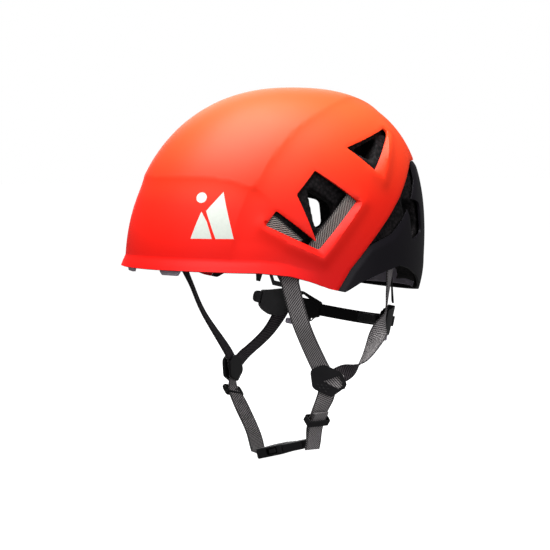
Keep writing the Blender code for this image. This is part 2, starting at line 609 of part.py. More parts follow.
def build_straps():
    """Front, rear and chin webbing on each side, ending inside the strap adjusters."""
    for side, label in ((1, "left"), (-1, "right")):
        frame = adjuster_frame(side)
        along, up = frame.to_3x3().col[0], Vector((0, 0, 1))
        top_front, top_rear = (Vector((side * x, y, POCKET_TOP - 0.008)) for _, x, y, _ in POCKETS)
        front = [top_front, (side * 0.0900, -0.0520, -0.0080), (side * 0.0865, -0.0450, -0.0280),
                 (side * 0.0835, -0.0340, -0.0540), frame @ Vector((-0.0095, 0.0150, 0.0010)),
                 frame @ Vector((-0.0026, 0.0022, 0.0002))]
        widths = [turned_across(side, turn) for turn in FRONT_TURNS[side]]
        ribbon(f"front_strap_{label}", front, widths + [along + 0.25 * up, along + 0.2 * up])
        rear = [top_rear, *REAR_ROUTES[side], frame @ Vector((0.0072, 0.0030, 0))]
        widths = [turned_across(side, *turn) for turn in REAR_TURNS[side]]
        end = 0.35 * along + 0.9 * up
        ribbon(f"rear_strap_{label}", rear, widths + [end if side > 0 else -end])

    buckle = buckle_frame()
    left = adjuster_frame(1)
    chin = [left @ Vector((-0.0010, -0.0045, 0)), left @ Vector((-0.0030, -0.0150, -0.0010)),
            (0.0650, -0.0055, -0.1290), (0.0530, -0.0035, -0.1430), buckle @ Vector((0.0305, 0, 0))]
    widths = [turned_across(1, 36), turned_across(1, 32), turned_across(1, 12), (-0.2, 1, 0),
              (-0.45, 0.89, 0)]
    ribbon("chin_strap_left", chin, widths)
    tail = [Vector(p) + Vector((0.0030, 0, -0.0012)) for p in
            ((0.0655, -0.0055, -0.1280), (0.0560, -0.0050, -0.1420), (0.0510, -0.0040, -0.1560),
             (0.0490, -0.0040, -0.1620))]
    ribbon("strap_tail", tail, [(0, 1, 0)] * 4)
    right = adjuster_frame(-1)
    chin = [right @ Vector((-0.0010, -0.0045, 0)), right @ Vector((-0.0015, -0.0180, -0.0004)),
            (-0.0600, -0.0090, -0.1370), (-0.0330, -0.0120, -0.1590),
            buckle @ Vector((-0.0255, 0, 0))]
    widths = [turned_across(-1, 36), turned_across(-1, 30), (0.0, 1, 0), (-0.1, 1, 0),
              (-0.45, 0.89, 0)]
    ribbon("chin_strap_right", chin, widths)


def build_adjusters():
    """Two plates on each side with the webbing between them, joined by a corner post."""
    for side, label in ((1, "left"), (-1, "right")):
        place = adjuster_frame(side)
        front = plate(rounded(PENTAGON, 0.003, 3), 0.0026, [rounded(WINDOW, 0.001, 2)])
        front.transform(Matrix.Translation((0, 0, 0.0030)))
        front.transform(place)
        finish(f"adjuster_plate_{label}", front, "plastic")
        back = plate([(u * 0.94, v * 0.94) for u, v in rounded(PENTAGON, 0.003, 3)], 0.0018)
        back.transform(Matrix.Translation((0, 0, -0.0028)))
        back.transform(place)
        base = finish(f"adjuster_back_{label}", back, "plastic")
        post = rod((0.0128, -0.0065, -0.0030), (0.0128, -0.0065, 0.0017 - GAP), 0.0012, 8)
        post.transform(place)
        boolean(base, finish(f"post_{label}", post), "UNION")


def build_keeper():
    """A ring round the chin strap and the strap's loose tail."""
    centre = Vector((0.0612, -0.0052, -0.1363))
    lean = Matrix.Translation(centre) @ Matrix.Rotation(math.radians(40), 4, "Y")
    outer = box((-0.0050, -0.0106, -0.0036), (0.0050, 0.0106, 0.0036), 0.0008)
    outer.transform(lean)
    ring = finish("strap_keeper", outer, "plastic")
    inner = box((-0.0038, -0.0092, -0.0200), (0.0038, 0.0092, 0.0200))
    inner.transform(lean)
    boolean(ring, finish("keeper_hole", inner))


# ---- buckle -------------------------------------------------------------------------------
def buckle_frame():
    """The buckle's own frame: X along the strap towards the left, Z its flat side, upwards."""
    return (Matrix.Translation(BUCKLE_CENTRE) @ Matrix.Rotation(BUCKLE_YAW, 4, "Z")
            @ Matrix.Rotation(BUCKLE_PITCH, 4, "Y"))


def build_buckle():
    """Side-release buckle: a hollow socket, and a plug with a tongue and two squeeze prongs."""
    frame = buckle_frame()
    outer = box((-0.0210, -0.0110, -0.0045), (0.0060, 0.0110, 0.0045), 0.0014)
    outer.transform(frame)
    socket = finish("buckle_socket", outer, "plastic")
    cuts = [box((-0.0120, -0.0088, -0.0030), (0.0100, 0.0088, 0.0030)),
            box((-0.0105, -0.0140, -0.0028), (0.0010, 0.0140, 0.0028)),
            box((-0.0185, -0.0080, -0.0090), (-0.0145, 0.0080, 0.0090))]
    for i, cut in enumerate(cuts):
        cut.transform(frame)
        boolean(socket, finish(f"socket_cut_{i}", cut))

    base = box((0.0064, -0.0110, -0.0038), (0.0270, 0.0110, 0.0038), 0.0012)
    base.transform(frame)
    plug = finish("buckle_plug", base, "plastic")
    tongue = box((-0.0100, -0.0018, -0.0020), (0.0100, 0.0018, 0.0020), 0.0004, 1)
    tongue.transform(frame)
    boolean(plug, finish("tongue", tongue), "UNION")
    window = box((0.0140, -0.0080, -0.0090), (0.0180, 0.0080, 0.0090))
    slot = box((0.0205, -0.0080, -0.0090), (0.0240, 0.0080, 0.0090))
    for i, cut in enumerate((window, slot)):
        cut.transform(frame)
        boolean(plug, finish(f"plug_cut_{i}", cut))

    for side, label in ((1, "rear"), (-1, "front")):
        outline = [(0.0060, 0.0040), (0.0060, 0.0074), (0.0000, 0.0080), (-0.0012, 0.0106),
                   (-0.0078, 0.0106), (-0.0100, 0.0062), (-0.0080, 0.0052), (-0.0010, 0.0052)]
        prong = plate([(x, y * side) for x, y in outline], 0.0040)
        prong.transform(frame)
        finish(f"squeeze_prong_{label}", prong, "plastic")


build_shells()
build_foam()
build_pads()
build_clips()
build_cradle()
build_side_webbing()
build_straps()
build_adjusters()
build_keeper()
build_buckle()
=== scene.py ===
"""Looks of the climbing helmet: shells, foam, pads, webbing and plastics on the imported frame."""
import json
import math

import bmesh
import bpy
import numpy as np
from mathutils import Matrix, Vector, geometry, kdtree


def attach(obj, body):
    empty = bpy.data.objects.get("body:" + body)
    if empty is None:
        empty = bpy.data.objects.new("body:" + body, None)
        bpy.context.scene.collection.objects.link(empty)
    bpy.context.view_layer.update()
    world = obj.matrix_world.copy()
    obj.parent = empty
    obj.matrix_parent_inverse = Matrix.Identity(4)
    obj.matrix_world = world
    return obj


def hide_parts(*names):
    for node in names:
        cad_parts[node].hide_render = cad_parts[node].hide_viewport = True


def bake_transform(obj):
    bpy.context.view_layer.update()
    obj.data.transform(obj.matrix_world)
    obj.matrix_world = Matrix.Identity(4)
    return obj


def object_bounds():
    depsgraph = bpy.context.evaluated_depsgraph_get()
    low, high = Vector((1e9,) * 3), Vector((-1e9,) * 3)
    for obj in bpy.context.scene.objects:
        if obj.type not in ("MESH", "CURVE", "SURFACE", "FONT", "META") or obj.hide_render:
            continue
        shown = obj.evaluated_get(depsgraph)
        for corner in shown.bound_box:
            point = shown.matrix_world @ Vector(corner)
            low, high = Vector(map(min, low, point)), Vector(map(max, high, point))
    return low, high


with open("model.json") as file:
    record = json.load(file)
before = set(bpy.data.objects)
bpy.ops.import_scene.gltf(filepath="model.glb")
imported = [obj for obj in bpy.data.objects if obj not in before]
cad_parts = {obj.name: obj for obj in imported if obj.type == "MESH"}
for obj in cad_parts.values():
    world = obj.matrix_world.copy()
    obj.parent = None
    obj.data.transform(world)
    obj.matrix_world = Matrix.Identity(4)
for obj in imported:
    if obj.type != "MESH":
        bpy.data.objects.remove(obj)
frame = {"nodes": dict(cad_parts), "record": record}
CAD_BOX = [list(map(float, corner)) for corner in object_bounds()]

# ---- shape constants, as in the CAD source (metres) ----
SHELL = {"width": 0.1075, "front": 0.1470, "back": 0.1300, "height": 0.1505}
SIDE_POWER = {"width": 2.41, "front": 2.22, "back": 2.60}
PLAN_POWER = 2.05
CROWN_SHIFT = 0.0084
SKIN = 0.0022
FOAM_INSET = 0.0044
TAPER = 0.0080
TAIL_DEPTH = 0.0310
FLARE = 0.0036
FLARE_HEIGHT = 0.0092
FLARE_END = -0.0300
FLARE_FADE = 0.0350
RING_SPREAD = 1.5
GAP = 0.0004
WEB_WIDTH = 0.0150
WEB_THICK = 0.0014
POCKETS = [(0.0905, -0.0515), (0.0830, 0.0570)]      # the front and rear straps' upper ends
STRAP_TOP = 0.0100
BUCKLE_CENTRE = (0.0180, -0.0130, -0.1665)
BUCKLE_YAW = math.radians(27)
BUCKLE_PITCH = math.radians(-15)
ADJUSTER = {1: Vector((0.0765, -0.0030, -0.1000)), -1: Vector((-0.0765, -0.0070, -0.1045))}
ADJUSTER_TURN = math.radians(36)

RIM = [(-0.150, -0.003), (-0.080, -0.005), (-0.057, -0.008), (-0.040, -0.013),
       (-0.021, -0.020), (-0.007, -0.023), (0.010, -0.015), (0.029, -0.009),
       (0.056, -0.003), (0.070, -0.006), (0.086, -0.013), (0.097, -0.021),
       (0.112, -0.028), (0.130, -0.031)]
SEAM = [(-0.018, -0.027), (-0.002, -0.004), (0.019, 0.017), (0.044, 0.041),
        (0.059, 0.056), (0.078, 0.077), (0.088, 0.0865)]
REAR_EDGE = [(0.019, 0.0155), (0.046, 0.024), (0.062, 0.036), (0.079, 0.053),
             (0.090, 0.070), (0.0905, 0.0855)]
UPPER_VENT = [(0.006, 0.098), (0.060, 0.115), (0.063, 0.111), (0.032, 0.078)]
MAIN_VENT = [(-0.029, 0.079), (0.008, 0.053), (-0.031, 0.013), (-0.053, 0.023),
             (-0.075, 0.034), (-0.066, 0.046), (-0.034, 0.020), (-0.048, 0.059)]
REAR_VENT = [(-0.009, 0.056), (0.018, 0.050), (0.020, 0.024), (-0.004, 0.017)]
REAR_VENT_TURN = math.radians(42)
VENT_CORNER = 0.0016
REAR_VENT_CORNER = 0.0040
# The rear shell's front edge below the flank, a gap behind the seam.
REAR_START = [(y + 0.00056, z - 0.00016) for y, z in SEAM[:2]]
SEAM_BACK_Z = 0.0885           # where the seam would end far behind the helmet
REAR_BACK_Z = 0.0881           # and the rear shell's upper edge
BACK_Y, BELOW_Z = 0.160, -0.060    # behind and below everything, to close outlines

# Outer lines of the sloping lips below and behind the side vents, as (y, z).
MAIN_LIP = [(-0.0755, 0.0335), (-0.0570, 0.0190), (-0.0285, 0.0062), (0.0120, 0.0510),
            (0.0085, 0.0535)]
UPPER_LIP = [(0.0635, 0.1125), (0.0385, 0.0705), (0.0300, 0.0785)]
# The lips' other sides, a little inside the vents.
MAIN_LIP_INSIDE = [(0.0050, 0.0535), (-0.0315, 0.0165), (-0.0530, 0.0265), (-0.0735, 0.0365)]
UPPER_LIP_INSIDE = [(0.0315, 0.0815), (0.0600, 0.1110)]
LIP_DROP = 0.0024
LIP_RIDGE = 0.0015
DENSE = 0.0004                 # spacing of the points that distances are measured from
OUTLINE_STEP = 0.0016          # mesh spacing along vents and lips
SEAM_STEP = 0.0018             # and along the seams and the rear vent
MESH_SPACING = 0.0019
MESH_RINGS = 118
# Creases of the moulded panels, on the left half of the shell.
CROWN_CREASE = [(0.0, -0.129, 0.0725), (0.018, -0.128, 0.073), (0.051, -0.111, 0.073),
                (0.070, -0.094, 0.070), (0.080, -0.080, 0.066), (0.080, -0.067, 0.084),
                (0.079, -0.055, 0.097), (0.073, -0.031, 0.116), (0.064, 0.001, 0.131),
                (0.050, 0.027, 0.139), (0.033, 0.052, 0.142), (0.021, 0.078, 0.133),
                (0.015, 0.100, 0.113), (0.013, 0.113, 0.094), (0.012, 0.119, 0.082)]
WEDGE_CREASE = [(0.079, -0.103, 0.006), (0.079, -0.096, 0.034), (0.080, -0.086, 0.060),
                (0.080, -0.080, 0.066), (0.093, -0.064, 0.050)]
# Where the wedge's panel fades out again, as (y, z).
WEDGE_END = [(-0.064, 0.050), (-0.040, 0.030), (-0.060, 0.000), (-0.103, 0.006)]
CROWN_FALL = (0.0012, 0.012)   # depth and width of the crown's crease
CROWN_FLOOR = 0.060
CROWN_FADE = 0.030
WEDGE_FALL = (0.0010, 0.011)
WEDGE_FADE = 0.016
MARK_CENTRE = (0.0650, -0.1120, 0.0410)
MARK_OUTWARD = (0.62, -0.72, 0.30)

CAMERA_DISTANCE = 1.6
CAMERA_SENSOR = 36.0
FRAME_WIDTH = 0.4872           # what the camera's frame spans at the origin
FLOOR_GAP = 0.012
FOAM_VOXEL = 0.0016
PAD_VOXEL = 0.0018
PAD_SWELL = 0.0009
CLOTH_FRAMES = 20

SIDES = ((1, "left"), (-1, "right"))


# ---- camera, light and floor ----
def make_stage():
    """Camera at the photograph's angle, soft studio light from above and a pale floor."""
    azimuth, elevation = math.radians(58.0), math.radians(4.0)
    back = Vector((math.sin(azimuth) * math.cos(elevation),
                   -math.cos(azimuth) * math.cos(elevation), math.sin(elevation)))
    right = Vector((math.cos(azimuth), math.sin(azimuth), 0))
    up = back.cross(right)
    camera = bpy.data.objects.new("camera", bpy.data.cameras.new("camera"))
    camera.location = back * CAMERA_DISTANCE - right * 0.0080 - up * 0.0150
    camera.rotation_euler = Matrix((right, up, back)).transposed().to_euler()
    camera.data.sensor_width = CAMERA_SENSOR
    camera.data.lens = CAMERA_SENSOR * CAMERA_DISTANCE / FRAME_WIDTH
    camera.data.clip_start = 0.05
    bpy.context.scene.collection.objects.link(camera)
    bpy.context.scene.camera = camera

    for name, place, size, power, colour in (
            ("top", (0.12, -0.30, 1.30), 1.3, 58, (1.0, 1.0, 1.0)),
            ("key", (0.75, -1.25, 0.75), 0.8, 4.5, (1.0, 0.99, 0.98)),
            ("side", (1.60, 0.20, 0.25), 0.8, 5.5, (0.98, 0.96, 1.0)),
            ("far", (-1.30, 0.60, 0.50), 0.9, 6, (1.0, 1.0, 1.0))):
        light = bpy.data.lights.new(name, "AREA")
        light.size = size
        light.energy = power
        light.color = colour
        holder = bpy.data.objects.new(name, light)
        holder.location = place
        aim = (Vector((0, 0, 0.03)) - Vector(place)).to_track_quat("-Z", "Y")
        holder.rotation_euler = aim.to_euler()
        bpy.context.scene.collection.objects.link(holder)

    world = bpy.data.worlds.new("studio")
    bpy.context.scene.world = world
    world.use_nodes = True
    tree = world.node_tree
    tree.nodes["Background"].inputs["Color"].default_value = (1, 1, 1, 1)
    tree.nodes["Background"].inputs["Strength"].default_value = 0.15
    seen = tree.nodes.new("ShaderNodeBackground")
    seen.inputs["Color"].default_value = (1, 1, 1, 1)
    path = tree.nodes.new("ShaderNodeLightPath")
    mix = tree.nodes.new("ShaderNodeMixShader")
    tree.links.new(path.outputs["Is Camera Ray"], mix.inputs["Fac"])
    tree.links.new(tree.nodes["Background"].outputs[0], mix.inputs[1])
    tree.links.new(seen.outputs[0], mix.inputs[2])
    tree.links.new(mix.outputs[0], tree.nodes["World Output"].inputs["Surface"])
    bpy.context.scene.view_settings.view_transform = "Standard"

    bm = bmesh.new()
    bmesh.ops.create_grid(bm, x_segments=2, y_segments=2, size=12.0)
    floor = new_object("floor", bm)
    floor.location.z = CAD_BOX[0][2] - FLOOR_GAP
    floor.visible_diffuse = floor.visible_glossy = floor.visible_transmission = False
    paint = Material("floor_paper", (0.30, 0.30, 0.30), 0.9)
    paint.noise_bump(900, 0.02, 0.0002)
    paint.shader.inputs["Emission Color"].default_value = (1, 1, 1, 1)
    paint.shader.inputs["Emission Strength"].default_value = 0.96
    floor.data.materials.append(paint.material)


# ---- materials ----
class Material:
    """A Principled material with a few procedural details."""

    def __init__(self, name, colour, roughness, **sockets):
        self.material = bpy.data.materials.new(name)
        self.material.use_nodes = True
        self.tree = self.material.node_tree
        self.shader = self.tree.nodes["Principled BSDF"]
        self.shader.inputs["Base Color"].default_value = (*colour, 1)
        self.shader.inputs["Roughness"].default_value = roughness
        self.colour = colour
        for key, value in sockets.items():
            self.shader.inputs[key.replace("_", " ")].default_value = value
        self.height = None

    def node(self, kind, **values):
        """A node of that kind, its sockets and settings given by name."""
        node = self.tree.nodes.new("ShaderNode" + kind)
        for key, value in values.items():
            if isinstance(value, bpy.types.NodeSocket):
                self.tree.links.new(value, node.inputs[int(key[1:])])
            elif key[1:].isdigit():
                node.inputs[int(key[1:])].default_value = value
            elif key[0].isupper():
                node.inputs[key.replace("_", " ")].default_value = value
            else:
                setattr(node, key, value)
        return node

    def maths(self, operation, first, second=0.0):
        """The result of a Math node."""
        return self.node("Math", operation=operation, s0=first, s1=second).outputs[0]

    def place(self, kind="Object"):
        """Texture coordinates, in metres."""
        return self.node("TexCoord").outputs[kind]

    def paint(self, colour):
        """Take the base colour from a node's output."""
        self.tree.links.new(colour, self.shader.inputs["Base Color"])

    def noise(self, scale, detail=2.0):
        """A noise value."""
        node = self.node("TexNoise", s0=self.place(), Scale=scale, Detail=detail)
        return node.outputs["Fac"]

    def cells(self, scale, stops):
        """Colour round cells by a ramp over the distance from their middles, and return it."""
        node = self.node("TexVoronoi", s0=self.place(), feature="F1", Scale=scale)
        self.paint(self.ramp(node.outputs["Distance"], stops))
        return node.outputs["Distance"]

    def bump(self, value, strength, depth):
        """Add a bump from a value."""
        node = self.node("Bump", Strength=strength, Distance=depth)
        self.tree.links.new(value, node.inputs["Height"])
        if self.height is not None:
            self.tree.links.new(self.height, node.inputs["Normal"])
        self.height = node.outputs["Normal"]
        self.tree.links.new(self.height, self.shader.inputs["Normal"])

    def noise_bump(self, scale, strength, depth):
        """Add a fine noise bump."""
        self.bump(self.noise(scale), strength, depth)

    def ramp(self, value, stops):
        """A colour ramp over a value."""
        node = self.node("ValToRGB", s0=value)
        band = node.color_ramp
        while len(band.elements) < len(stops):
            band.elements.new(0.5)
        for element, (position, colour) in zip(band.elements, stops):
            element.position = position
            element.color = (*colour, 1)
        return node.outputs["Color"]

    def vary(self, scale, amount):
        """Vary the base colour a little with noise."""
        dark = tuple(c * (1 - amount) for c in self.colour)
        light = tuple(min(c * (1 + amount), 1) for c in self.colour)
        self.paint(self.ramp(self.noise(scale), [(0.3, dark), (0.7, light)]))

    def rough(self, scale, low, high):
        """Vary the roughness between two values."""
        node = self.node("MapRange", s0=self.noise(scale), s3=low, s4=high)
        self.tree.links.new(node.outputs[0], self.shader.inputs["Roughness"])


def make_materials():
    """Every finish, by name."""
    made = {}
    orange = Material("orange_abs", (0.88, 0.040, 0.004), 0.50, Specular_IOR_Level=0.20)
    # The base colour runs from deep red low down to light orange at the crown: painted top light,
    # with a little random tone from the noise.
    height = orange.node("SeparateXYZ", s0=orange.place()).outputs[2]
    painted_top_light = orange.maths("ADD", orange.maths("MULTIPLY", height, 6.0),
                         orange.maths("MULTIPLY", orange.noise(14), 0.10))
    orange.paint(orange.ramp(painted_top_light, [(0.0, (0.84, 0.005, 0.004)), (0.35, (0.88, 0.016, 0.005)),
                                     (0.85, (0.92, 0.082, 0.018))]))
    orange.noise_bump(2600, 0.10, 0.00006)
    orange.rough(55, 0.46, 0.53)
    made["orange"] = orange
    print_ink = Material("mark_ink", (0.62, 0.66, 0.60), 0.6, Specular_IOR_Level=0.3)
    print_ink.vary(400, 0.03)
    print_ink.noise_bump(2600, 0.12, 0.00006)
    made["ink"] = print_ink
    black = Material("black_abs", (0.0046, 0.0034, 0.0062), 0.42, Specular_IOR_Level=0.26)
    black.vary(20, 0.10)
    black.noise_bump(2400, 0.14, 0.00007)
    black.rough(60, 0.42, 0.52)
    made["black"] = black
    # The foam is black, and its colours are set darker still as painted shade in the gap between
    # the shells; the cell ramp makes each bead's middle lighter and its edges darker, painted shade
    # between the beads.
    foam = Material("beaded_foam", (0.012, 0.010, 0.011), 0.8, Specular_IOR_Level=0.2)
    beads = foam.cells(330.0, [(0.0, (0.022, 0.018, 0.020)), (0.45, (0.0090, 0.0072, 0.0080)),
                               (0.75, (0.0015, 0.0012, 0.0014))])
    foam.bump(foam.maths("MULTIPLY", beads, -1.0), 0.55, 0.0006)
    made["foam"] = foam
    # The vent webbing is the same grey webbing in darker colours: painted shade inside the vents.
    for name, dark, light in (("webbing", (0.030, 0.027, 0.030), (0.58, 0.55, 0.55)),
                              ("vent_webbing", (0.010, 0.008, 0.008), (0.30, 0.27, 0.25)),
                              ("webbing_inner", (0.012, 0.010, 0.013), (0.115, 0.100, 0.110))):
        made[name] = weave(name, dark, light)
    plastic = Material("satin_nylon", (0.0075, 0.0070, 0.0085), 0.42, Specular_IOR_Level=0.40)
    plastic.vary(40, 0.15)
    plastic.noise_bump(1800, 0.12, 0.00006)
    plastic.rough(80, 0.36, 0.50)
    made["plastic"] = plastic
    clear = Material("clear_tpu", (0.84, 0.78, 0.92), 0.18, Transmission_Weight=0.30, IOR=1.45)
    clear.vary(60, 0.12)
    clear.noise_bump(300, 0.15, 0.0002)
    made["clear"] = clear
    cloth = Material("brushed_mesh", (0.020, 0.020, 0.023), 0.88, Sheen_Weight=0.35,
                     Sheen_Roughness=0.45)
    holes = cloth.cells(620.0, [(0.15, (0.008, 0.008, 0.009)), (0.5, (0.026, 0.026, 0.030))])
    cloth.bump(holes, 0.5, 0.0005)
    cloth.noise_bump(3500, 0.25, 0.0002)
    made["cloth"] = cloth
    return made


def weave(name, dark, light):
    """Diagonal twill webbing, its threads laid out by the strip's own width and length."""
    web = Material(name, light, 0.85, Sheen_Weight=0.10, Sheen_Roughness=0.5,
                   Specular_IOR_Level=0.2)
    split = web.node("SeparateXYZ", s0=web.place("UV"))
    across, along = split.outputs[0], split.outputs[1]
    pitch = 2 * math.pi / 0.0023
    lean = web.maths("ADD", web.maths("MULTIPLY", along, pitch),
                     web.maths("MULTIPLY", across, pitch * 0.9))
    thread = web.maths("SINE", web.maths("MULTIPLY", across, 2 * math.pi / 0.0016))
    twill = web.maths("SINE", lean)
    value = web.maths("ADD", web.maths("MULTIPLY", twill, 0.44),
                      web.maths("MULTIPLY", thread, 0.14))
    value = web.maths("ADD", value, 0.5)
    edge = web.maths("GREATER_THAN", web.maths("ABSOLUTE", across), WEB_WIDTH / 2 - 0.0013)
    plain = web.maths("SUBTRACT", 1.0, web.maths("MULTIPLY", edge, 0.55))
    value = web.maths("MULTIPLY", value, plain)
    fuzz = web.maths("MULTIPLY", web.maths("SUBTRACT", web.noise(900, 3.0), 0.5), 0.5)
    shade = web.maths("ADD", value, fuzz)
    middle = tuple((a + b) / 2 for a, b in zip(dark, light))
    web.paint(web.ramp(shade, [(0.15, dark), (0.5, middle), (0.85, light)]))
    web.bump(value, 0.6, 0.00035)
    return web


# ---- mesh helpers ----
def new_object(name, source):
    """An object from a bmesh or a mesh, in the scene."""
    if isinstance(source, bmesh.types.BMesh):
        mesh = bpy.data.meshes.new(name)
        source.to_mesh(mesh)
        source.free()
    else:
        mesh = source
    obj = bpy.data.objects.new(name, mesh)
    bpy.context.scene.collection.objects.link(obj)
    return obj


def apply_modifiers(obj):
    """Keep what the object's modifiers make."""
    graph = bpy.context.evaluated_depsgraph_get()
    mesh = bpy.data.meshes.new_from_object(obj.evaluated_get(graph))
    obj.modifiers.clear()
    obj.data = mesh


def dress(obj, finish, slot, body, *nodes, angle=32):
    """Shade and paint a piece, and name its body and the nodes it stands for; the slot is not used.
    """
    obj.data.materials.clear()
    obj.data.materials.append(MATERIALS[finish].material)
    obj.data.shade_smooth()
    obj.data.set_sharp_from_angle(angle=math.radians(angle))
    if nodes:
        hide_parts(*nodes)
    if body:
        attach(obj, body)


def rounded(outline, radius, steps=3):
    """Replace each corner of a closed outline by an arc."""
    points = [Vector((*p, 0)) for p in outline]
    result = []
    for i, corner in enumerate(points):
        back = points[i - 1] - corner
        ahead = points[(i + 1) % len(points)] - corner
        start = corner + back.normalized() * min(radius, back.length * 0.45)
        end = corner + ahead.normalized() * min(radius, ahead.length * 0.45)
        for k in range(steps + 1):
            t = k / steps
            point = start * (1 - t) ** 2 + corner * 2 * t * (1 - t) + end * t ** 2
            result.append((point.x, point.y))
    return result


def inside(polygon, a, b):
    """Which of the points (a, b) lie in a polygon."""
    hit = np.zeros(len(a), bool)
    for (x0, y0), (x1, y1) in zip(polygon, polygon[1:] + polygon[:1]):
        if y0 == y1:
            continue
        crosses = (y0 > b) != (y1 > b)
        hit ^= crosses & (a < (x1 - x0) * (b - y0) / (y1 - y0) + x0)
    return hit


def resample(points, step, closed=False):
    """Points along a broken line, no further apart than a step, its corners kept."""
    points = [np.array(p, float) for p in points]
    if closed:
        points.append(points[0])
    line = []
    for a, b in zip(points, points[1:]):
        count = max(1, math.ceil(np.linalg.norm(b - a) / step))
        line.extend(a + (b - a) * k / count for k in range(count))
    if not closed:
        line.append(points[-1])
    return line


# ---- the dome ----
def reach(dome, key, z):
    """Half width, front or back reach of a dome at heights z."""
    power = SIDE_POWER[key]
    lift = np.clip(z / dome["height"], 0, 1)
    full = dome[key] * (1 - lift ** power) ** (1 / power)
    if key == "back":
        full = full - TAPER * (np.minimum(z, 0) / TAIL_DEPTH) ** 2
    return full


def dome_points(dome, turn, z, flare=0.0):
    """Points of a dome at turns from the wearer's left towards the back, and heights z."""
    c, s = np.cos(turn), np.sin(turn)
    power = 2 / PLAN_POWER
    x = (reach(dome, "width", z) + flare) * np.sign(c) * np.abs(c) ** power
    depth = np.where(s > 0, reach(dome, "back", z), reach(dome, "front", z)) + flare
    y = depth * np.sign(s) * np.abs(s) ** power
    y = y + CROWN_SHIFT * np.maximum(z, 0) / dome["height"]
    return np.stack([x, y, z], axis=-1)


def rim_height(turn):
    """Height of the lower edge at turns."""
    ground = dome_points(SHELL, turn, np.zeros_like(turn))[..., 1]
    return np.interp(ground, [p[0] for p in RIM], [p[1] for p in RIM])


def grown(dome, amount):
    """The same dome, larger or smaller all round."""
    return {key: value + amount for key, value in dome.items()}


def bowl_points(turn, rho, flared=True):
    """Points of the shell at turns and distances rho from the crown, 0 to 1 at the rim."""
    rim = rim_height(turn)
    z = rim + (SHELL["height"] - rim) * np.cos(rho * math.pi / 2).clip(0, 1) ** RING_SPREAD
    flare = 0.0
    if flared:
        ground = dome_points(SHELL, turn, np.zeros_like(turn))[..., 1]
        fade = np.clip((FLARE_END - ground) / FLARE_FADE, 0, 1)
        flare = FLARE * fade * np.clip(1 - (z - rim) / FLARE_HEIGHT, 0, 1)
    return dome_points(SHELL, turn, z, flare)


def locate(point):
    """Turn and rho of a point on the shell."""
    x, y, z = point
    y = y - CROWN_SHIFT * max(z, 0) / SHELL["height"]
    width = float(reach(SHELL, "width", z))
    depth = float(reach(SHELL, "back" if y > 0 else "front", z))
    c = math.copysign((abs(x) / width) ** (PLAN_POWER / 2), x)
    s = math.copysign((abs(y) / depth) ** (PLAN_POWER / 2), y)
    turn = math.atan2(s, c)
    rim = float(rim_height(np.array([turn]))[0])
    height = min(max((z - rim) / (SHELL["height"] - rim), 0), 1)
    return turn, math.acos(height ** (1 / RING_SPREAD)) / (math.pi / 2)


def side_point(side, y, z, inset=0.0):
    """Point on the flank of the shell, below its surface, at a given y and z."""
    dome = grown(SHELL, -inset)
    shifted = y - CROWN_SHIFT * max(z, 0) / dome["height"]
    depth = float(reach(dome, "back" if shifted > 0 else "front", z))
    width = float(reach(dome, "width", z))
    x = width * max(1 - abs(shifted / depth) ** PLAN_POWER, 0) ** (1 / PLAN_POWER)
    return Vector((side * x, y, z))


def rear_vent_points(side):
    """The rear vent's outline on the shell's surface."""
    cos, sin = math.cos(REAR_VENT_TURN), math.sin(REAR_VENT_TURN)
    points = []
    for u, z in resample(rounded(REAR_VENT, REAR_VENT_CORNER), SEAM_STEP, closed=True):
        low, high = 0.0, math.pi / 2
        for _ in range(40):
            turn = (low + high) / 2
            x, y, _ = dome_points(SHELL, np.array([turn]), np.array([z]))[0]
            if y * cos - x * sin < u:
                low = turn
            else:
                high = turn
        points.append((side * x, y, z))
    return points


# ---- shells ----
# A plain pictogram of two peaks and a sun, as (right, up) outlines in metres.
SUN = [(-0.0095 + 0.0046 * math.cos(k * math.pi / 8), 0.0165 + 0.0046 * math.sin(k * math.pi / 8))
       for k in range(16)]
MARK = [[(-0.0175, -0.0190), (0.0010, -0.0190), (-0.0032, -0.0050), (-0.0085, 0.0045)],
        [(0.0040, -0.0190), (0.0190, -0.0190), (0.0085, 0.0215), (-0.0045, 0.0050)], SUN]


def mark_outlines():
    """The mark's outlines on the shell, as points."""
    out = Vector(MARK_OUTWARD).normalized()
    right = Vector((0, 0, 1)).cross(out).normalized()
    up = out.cross(right)
    return [[tuple(Vector(MARK_CENTRE) + right * a + up * b)
             for a, b in resample(outline, 0.0012, closed=True)] for outline in MARK]


def flank(side, points):
    """Points of the shell's flank at pairs of y and z."""
    return [tuple(side_point(side, y, z)) for y, z in points]


